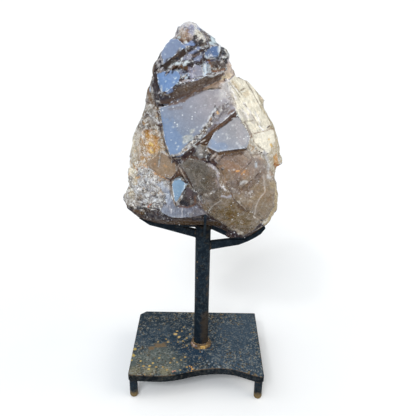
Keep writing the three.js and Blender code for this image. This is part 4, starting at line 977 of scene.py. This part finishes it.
# For each CAD facet: its two tints, where its colour starts and how it runs, whether it has its
# own colour, its gain, and its shares. These are the columns that hold them.
LOW, HIGH, START, RUN = slice(0, 3), slice(3, 6), slice(6, 9), slice(9, 12)
OWN, GAIN = slice(12, 13), slice(13, 14)
SATIN, GLITTER, STREAKS, STRIAE, CLEAR, RIM, RELIEF = range(14, 21)
KEY_TURNS, KEY_MM = 12, 1.5
SPREAD, GLITTER_SPREAD = 0.08, 0.22
RUN_MM, LEVEL_FACE, LEVEL_ACROSS = 110, 0.99, Vector((1, 0, 0))
facet_looks = []
for facet in original.faces:
    middle, normal = in_stone_mm(facet.calc_center_median()), facet.normal
    plane_key = (*(round(c * KEY_TURNS) for c in normal), round(middle.dot(normal) / KEY_MM))
    chance = random.Random(str(plane_key))
    looks = None
    for point, bearing, lean, low, high, shares in GROWN.values():
        plane = facing(bearing, lean)
        if normal.dot(plane) > NEAR_TURN and abs((middle - Vector(point)).dot(plane)) < NEAR_PLANE_MM:
            looks = (point, plane, low, high, 1.0, shares)
            break
    if looks is None:
        tints, shares = BROKEN[ground_at(middle, normal)]
        tint = chance.choice(tints) if tints else None
        spread = SPREAD + GLITTER_SPREAD * shares[1]
        looks = (middle, normal, tint, tint, 1 + chance.uniform(-spread, spread), shares)
    point, plane, low, high, gain, shares = looks
    across = Vector((-plane.y, plane.x, 0)).normalized() if abs(plane.z) < LEVEL_FACE else LEVEL_ACROSS
    run = (across + plane.cross(across)) / RUN_MM
    own = low is not None
    low, high = (light_rgb(*tint) if own else (0, 0, 0) for tint in (low, high))
    facet_looks.append((*low, *high, *point, *run, float(own), gain, *shares))
facet_looks = np.array(facet_looks)
facet_normals = np.array([facet.normal for facet in original.faces])

ridge_points, crease_points = [], []
for edge in original.edges:
    if len(edge.link_faces) != 2 or edge.calc_face_angle(0) < RIDGE_ANGLE:
        continue
    one, two = edge.link_faces
    outward = (two.calc_center_median() - one.calc_center_median()).dot(one.normal) < 0
    ends = [v.co for v in edge.verts]
    steps = max(1, int((ends[1] - ends[0]).length / (EDGE_STEP_MM * MM)))
    line = [ends[0].lerp(ends[1], i / steps) for i in range(steps + 1)]
    (ridge_points if outward else crease_points).extend(line)


def tree_of(points):
    tree = kdtree.KDTree(len(points))
    for i, point in enumerate(points):
        tree.insert(point, i)
    tree.balance()
    return tree


def pod(start_mm, end_mm, half_width):
    """A rounded lump that lies between two places on the stone."""
    first, last = Vector(start_mm), Vector(end_mm)
    shape = bmesh.new()
    bmesh.ops.create_icosphere(shape, subdivisions=3, radius=MM)
    along = (last - first).to_track_quat("Z", "Y").to_matrix().to_4x4()
    stretch = Matrix.Diagonal((half_width, half_width, half_width + (last - first).length / 2, 1))
    bmesh.ops.transform(shape, verts=shape.verts,
                        matrix=Matrix.Translation(seat + (first + last) / 2 * MM) @ along @ stretch)
    mesh = bpy.data.meshes.new("pod")
    shape.to_mesh(mesh)
    shape.free()
    return bpy.data.objects.new("pod", mesh)


ridges, creases = tree_of(ridge_points), tree_of(crease_points)
facet_finder = BVHTree.FromBMesh(original)
stone_mesh = bpy.data.meshes.new("quartz_fine")
original.to_mesh(stone_mesh)
original.free()
blank = bpy.data.objects.new("quartz_blank", stone_mesh)
bpy.context.scene.collection.objects.link(blank)
pods = bpy.data.collections.new("pods")
bpy.context.scene.collection.children.link(pods)
for start_mm, end_mm, half_width in PACKED.values():
    pods.objects.link(pod(start_mm, end_mm, half_width))
packing = blank.modifiers.new("packing", "BOOLEAN")
packing.operation, packing.solver, packing.operand_type = "UNION", "EXACT", "COLLECTION"
packing.collection, packing.use_self = pods, True
recast = blank.modifiers.new("recast", "REMESH")
recast.mode, recast.octree_depth, recast.use_remove_disconnected = "SHARP", OCTREE_DEPTH, True
recast.scale = max(blank.dimensions) / (CELL_MM * MM * 2 ** OCTREE_DEPTH)
recast.sharpness = 1.0
fine = bpy.data.meshes.new_from_object(blank.evaluated_get(bpy.context.evaluated_depsgraph_get()))
for helper in (blank, *pods.objects):
    bpy.data.objects.remove(helper)
bpy.data.collections.remove(pods)
stone = bmesh.new()
stone.from_mesh(fine)
stone.normal_update()


def facet_under(point, normal):
    """The CAD facet under a spot, chosen among the near ones by the way it faces."""
    best, best_score = None, -9
    near = facet_finder.find_nearest_range(point, NEAR_SKIN_MM * MM)
    for _place, facet_normal, index, distance in near:
        score = facet_normal.dot(normal) - distance / (TURN_WORTH_MM * MM)
        if score > best_score:
            best, best_score = index, score
    return facet_finder.find_nearest(point)[2] if best is None else best


under_face = [facet_under(f.calc_center_median(), f.normal) for f in stone.faces]
face_looks, face_normals = facet_looks[under_face], facet_normals[under_face]
loop_face = np.array([f.index for f in stone.faces for _ in f.loops])
loop_vert = np.array([loop.vert.index for f in stone.faces for loop in f.loops])


def at_verts(column):
    """A share of the faces, averaged over the faces that meet at each vertex."""
    total, count = np.zeros(len(stone.verts)), np.zeros(len(stone.verts))
    np.add.at(total, loop_vert, face_looks[loop_face, column])
    np.add.at(count, loop_vert, 1)
    return total / count


def nearness(edges, spot, reach_mm):
    """One on the edges, and nothing reach_mm away from them."""
    return max(0.0, 1 - edges.find(spot)[2] / (reach_mm * MM))


def ease(verts, turns):
    """Smooths a part of the skin, so many times over."""
    for _ in range(turns):
        bmesh.ops.smooth_vert(stone, verts=verts, factor=0.5, use_axis_x=True, use_axis_y=True,
                              use_axis_z=True)


rims = np.array([(nearness(ridges, v.co, RIM_MM), nearness(creases, v.co, RIM_MM),
                  nearness(ridges, v.co, HALO_MM)) for v in stone.verts])
rim_share = at_verts(RIM)

# Worn, rounded ground: the edges there are eased, while the growth faces keep theirs crisp.
for turns, limit in EASINGS:
    ease([v for v, share in zip(stone.verts, rim_share) if share < limit], turns)

# Corners that stand out are worn round.
for place, reach_mm in WORN.values():
    ease([v for v in stone.verts if (in_stone_mm(v.co) - Vector(place)).length < reach_mm], WORN_TURNS)

# The bottoms of the creases are packed with small stuff, so they are shallower than a clean cut.
ease([v for v, rim in zip(stone.verts, rims) if rim[1] > CREASED_RIM], CREASE_TURNS)
stone.normal_update()

# The chips that the broken ground is made of: how far across, and their share of its depth.
CHIPS = {"slab": (15.0, 0.5), "chip": (6.5, 0.32), "crumb": (3.6, 0.18)}
TILT_SEED, STEP_SEED, TILT = 7.31, 3.7, 2.2
RELIEF_MM, WAVE_MM, WAVE_ACROSS_MM = 2.2, 0.25, 21
NIBBLE_MM, NIBBLE_ACROSS_MM, NIBBLED = 1.5, 3.1, 0.25
SATIN_FLAT, SATIN_WHOLE = 0.85, 0.45


def broken_relief(place):
    """Depth of a spot among tilted, stepped chips: from 0 down to about -1."""
    height = 0.0
    for chip_mm, share in CHIPS.values():
        centre = noise.voronoi(place / chip_mm)[1][0]
        tilt = noise.noise_vector(centre * TILT_SEED)
        height += share * ((place / chip_mm - centre).dot(tilt) * TILT + noise.noise(centre * STEP_SEED))
    return (max(-1.0, min(1.0, height)) - 1.0) / 2


relief_share, satin_share = at_verts(RELIEF), at_verts(SATIN)
moves = []
for vertex, rim, rim_amount, relief, satin in zip(stone.verts, rims, rim_share, relief_share, satin_share):
    place = in_stone_mm(vertex.co)
    nibble = max(0.0, noise.noise(place / NIBBLE_ACROSS_MM) + NIBBLED)
    nibble = rim[0] * rim_amount * nibble * NIBBLE_MM * (1 - SATIN_WHOLE * satin)
    wave = (noise.noise(place / WAVE_ACROSS_MM) - 1) * WAVE_MM
    depth = relief * (broken_relief(place) * RELIEF_MM * (1 - SATIN_FLAT * satin * satin) + wave) - nibble
    moves.append(vertex.normal * depth * MM)
for vertex, move in zip(stone.verts, moves):
    vertex.co += move
stone.normal_update()

SWAY_MM, SWAY_ACROSS_MM, JITTER_ACROSS_MM = 7, 16, 4.2
HEART_MM, FADE_POWER = 3, 4
SHADE_FROM, SHADE_MOST = 0.3, 0.5
spots = np.array([in_stone_mm(v.co) for v in stone.verts])
drifted = spots + SWAY_MM * np.array([noise.noise_vector(Vector(s) / SWAY_ACROSS_MM) for s in spots])
jitter = np.array([noise.noise(Vector(s) / JITTER_ACROSS_MM) for s in spots])
weights = np.array([(reach / (np.linalg.norm(drifted - place, axis=1) + HEART_MM)) ** FADE_POWER
                    for place, _tint, reach in DRIFT.values()])
tints = np.array([light_rgb(*tint) for _place, tint, _reach in DRIFT.values()])
drift = (weights.T @ tints) / weights.sum(axis=0)[:, None]
# Painted shade: the body's colour is darkened on skin that faces down.
shaded = np.clip(-np.array([v.normal.z for v in stone.verts]) - SHADE_FROM, 0, SHADE_MOST)
drift *= (1 - shaded)[:, None]

loop_looks = face_looks[loop_face]
run = ((spots[loop_vert] - loop_looks[:, START]) * loop_looks[:, RUN]).sum(axis=1)
run = np.clip(0.5 + run, 0, 1)[:, None]
own = loop_looks[:, OWN]
tint = own * (loop_looks[:, LOW] * (1 - run) + loop_looks[:, HIGH] * run) + (1 - own) * drift[loop_vert]
tint *= loop_looks[:, GAIN]
glitter, edging = loop_looks[:, GLITTER].copy(), loop_looks[:, RIM].copy()

skin = BVHTree.FromBMesh(stone)
skin_spots = tree_of([v.co for v in stone.verts])
STOP_APART, RAGGED, SOFT_EDGE, SOFT_MM = 0.5, 0.8, 0.3, 0.5
WIDEST, EDGE_MM, EDGING_LOST = 2.2, 1, 0.8


def laid_on_stone(across, down):
    """Where the camera's line of sight through a place in its frame first meets the stone."""
    aim = sight(across, down)
    hit = skin.ray_cast(camera.location, aim)[0]
    return hit or skin.find_nearest(camera.location + aim * (seat - camera.location).dot(ahead))[0]


def stops_along(line):
    """The places along a mark's line, about half a step of the frame apart."""
    places = list(zip(line[::2], line[1::2]))
    stops = [places[-1]]
    for one, two in zip(places, places[1:]):
        steps = max(1, round(math.dist(one, two) / STOP_APART))
        stops += [(one[0] + (two[0] - one[0]) * i / steps, one[1] + (two[1] - one[1]) * i / steps)
                  for i in range(steps)]
    return stops


for mark_rgb, strength, mark_glitter, half_width, *lines in MARKS.values():
    reach = {}
    for stop in (stop for line in lines for stop in stops_along(line)):
        around = skin_spots.find_range(laid_on_stone(*stop), (WIDEST * half_width + EDGE_MM) * MM)
        for _place, index, away in around:
            reach[index] = min(away / MM, reach.get(index, away / MM))
    near, away = np.array(list(reach), dtype=int), np.array(list(reach.values()))
    cover = np.zeros(len(spots))
    edge = half_width * (1 + RAGGED * jitter[near]) - away
    cover[near] = strength * np.clip(edge / (SOFT_EDGE * half_width + SOFT_MM) + 0.5, 0, 1)
    cover = cover[loop_vert]
    tint += (np.array(light_rgb(*mark_rgb)) - tint) * cover[:, None]
    glitter += (mark_glitter - glitter) * cover
    edging *= 1 - EDGING_LOST * cover

# The colours are given as they look by daylight, so the gloss that lies over them is taken off,
# and the rest is divided by the light that reaches the spot.
ways = daylight_rays()
reached = np.ones((len(spots), len(ways)))
for vertex in stone.verts:
    outside = vertex.co + vertex.normal * RAY_START_MM * MM
    for i, (way, _light) in enumerate(ways):
        if vertex.normal.dot(way) > BEHIND and skin.ray_cast(outside, way)[0]:
            reached[vertex.index, i] = BOUNCED
cosines = np.clip(face_normals @ np.array([way for way, _light in ways]).T, 0, None)
light = (cosines[loop_face] * reached[loop_vert]) @ np.array([light for _way, light in ways])
tint = np.clip((tint - np.array(SHEEN)) / light, DARKEST, LIGHTEST)

QUARTZ_IOR = 1.544
AMBER_TINGE, VEIL, PAINTED_SKY_SHEEN = (1.0, 0.8, 0.6), (158, 144, 130), (176, 192, 222)
FROST_AND_GLINTS, PIT, SPECK = (240, 240, 236), (46, 36, 29), (226, 230, 232)
CREASE_SHADE, CHIPS_AND_GLINTS = (50, 35, 25), (230, 236, 240)
SHARDS = ((0.0, (48, 38, 32)), (0.2, (94, 74, 58)), (0.4, (150, 138, 124)),
          (0.62, (176, 178, 190)), (0.84, (232, 232, 228)), (0.93, (200, 150, 84)))
GRAINS = ((0.0, (44, 36, 32)), (0.14, (112, 96, 80)), (0.34, (164, 152, 138)),
          (0.6, (196, 194, 196)), (0.82, (248, 248, 244)))
GLASS_TINT, SMOKE_TINT, SMOKE_DENSITY = (0.92, 0.82, 0.68, 1), (0.62, 0.46, 0.32, 1), 22.0
quartz, start = new_material("smoky_quartz")
satin, glittering, clear = (start.attribute("finish").part(i) for i in range(3))
streaks, striae, rim_amount = (start.attribute("lines").part(i) for i in range(3))
ridge, crease, halo = (start.attribute("rims").part(i) for i in range(3))
cloud = start.noise(30, 3)
mottle = start.noise(6.5, 5, 0.62)
grain = start.noise(1.9, 4, 0.68)
upright = start.noise(1.6, 3, 0.6, stretch=(1, 1, 14))
slanting = start.noise(2.2, 3, 0.6, stretch=(9, 1, 1), turn=(0, math.radians(-38), 0))
broken = 1 - satin
tone = (1 + (cloud - 0.5) * 0.5 + (mottle - 0.5) * (0.35 + broken * 1.6)
        + (grain - 0.5) * (0.3 + broken * 1.4) + (upright - 0.5) * streaks * 2.2
        + (slanting - 0.5) * striae * 1.5)
colour = start.attribute("tint").mix(tone, 1.0, "MULTIPLY")
smoulder = start.noise(13, 4, 0.6, bend=0.8)
colour = colour.mix(AMBER_TINGE, smoulder.ramp(0.5, 0.64) * (clear * 1.9), "MULTIPLY")
colour = colour.paint(VEIL, smoulder.ramp(0.46, 0.34) * (clear * 0.9))
# Painted sky reflection: satin faces turn a little lighter and bluer near their ridges.
colour = colour.paint(PAINTED_SKY_SHEEN, halo * satin * 0.08)
# Broken ground glitters: cells and patches of its own dark, grey and golden bits, and white ones that are
# partly frosted quartz and partly painted glints.
shards = start.cells(4.6, output=1, bend=0.9).part(0)
patchy = (mottle + (cloud - 0.5) * 0.5).ramp(0.36, 0.52)
colour = colour.mix(shards.bands(SHARDS), patchy * glittering * 0.6)
grains = start.cells(2.3, output=1, bend=0.9).part(1)
crumbly = (grain + (mottle - 0.5) * 0.6).ramp(0.42, 0.52)
colour = colour.mix(grains.bands(GRAINS), crumbly * glittering * 0.62)
# White patches: frosted quartz and painted glints.
patches = grain * 0.6 + mottle * 0.4
colour = colour.paint(FROST_AND_GLINTS, patches.ramp(0.54, 0.6) * glittering * 0.85)
colour = colour.paint(PIT, patches.ramp(0.45, 0.39) * glittering * 0.8)
specks = (start.cells(5.0).ramp(0.2, 0.12) * start.noise(22, 2).ramp(0.48, 0.56)
          + start.cells(3.1).ramp(0.17, 0.1) * start.noise(13, 2).ramp(0.52, 0.6))
colour = colour.paint(SPECK, specks * 0.7)
# Painted shade: the skin darkens into the creases.
crease_shading = (crease + (grain - 0.5) * 0.9 + (mottle - 0.5) * 0.9).ramp(0.55, 0.85)
colour = colour.paint(CREASE_SHADE, crease_shading * rim_amount * 0.85)
# The ridges are lighter: white chips along them, and painted highlights where they catch the light.
ridge_chips_and_glints = (ridge + (grain - 0.5) * 1.6 + (mottle - 0.5) * 1.3).ramp(0.84, 1.0)
colour = colour.paint(CHIPS_AND_GLINTS, ridge_chips_and_glints * rim_amount * 0.78)
height = (grain * (0.3 + glittering) + mottle * (0.4 + broken) + upright * streaks
          + slanting * striae * 0.8 + (shards * 0.9 + grains * 0.5) * glittering)
normal = start.node("Bump", {}, {"Strength": 0.7, "Distance": 0.9 * MM, "Height": height})
roughness = satin.ramp(0, 1, 0.3, 0.27) + (mottle - 0.5) * 0.3 - clear * 0.2
crust = start.node("BsdfPrincipled", {}, {"Base Color": colour, "Roughness": roughness,
                                          "Normal": normal, "IOR": QUARTZ_IOR, "Specular IOR Level": 0.1,
                                          "Coat Weight": clear * 0.3, "Coat Roughness": 0.12})
matte = start.node("BsdfPrincipled", {}, {"Base Color": colour, "Roughness": 0.8, "Normal": normal,
                                          "Specular IOR Level": 0.0})
lightness = start.node("RGBToBW", {}, {0: start.attribute("tint")})
crust = start.node("MixShader", {}, {0: lightness.ramp(0.06, 0.2, 1.0, 0.0), 1: crust, 2: matte})
glass = start.node("BsdfPrincipled", {}, {"Base Color": GLASS_TINT, "Roughness": 0.12,
                                          "Normal": normal, "IOR": QUARTZ_IOR, "Transmission Weight": 1.0})
share = clear * (mottle + cloud).ramp(0.7, 1.2)
surface = start.node("MixShader", {}, {0: share, 1: crust, 2: glass})
smoke = start.node("VolumeAbsorption", {}, {"Color": SMOKE_TINT, "Density": SMOKE_DENSITY})
finish_material(start, surface, smoke)

crystal = object_of(stone, "quartz_crystal", quartz, smooth_below=STONE_SMOOTH)
loop_finish = np.column_stack((loop_looks[:, SATIN], glitter, loop_looks[:, CLEAR]))
loop_lines = np.column_stack((loop_looks[:, STREAKS], loop_looks[:, STRIAE], edging))
for name, domain, values in (("tint", "CORNER", tint), ("finish", "CORNER", loop_finish),
                             ("lines", "CORNER", loop_lines), ("rims", "POINT", rims)):
    layer = crystal.data.color_attributes.new(name, "FLOAT_COLOR", domain)
    layer.data.foreach_set("color", np.column_stack((values, np.ones(len(values)))).ravel())
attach(crystal, ROOT)
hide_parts("smoky_quartz")
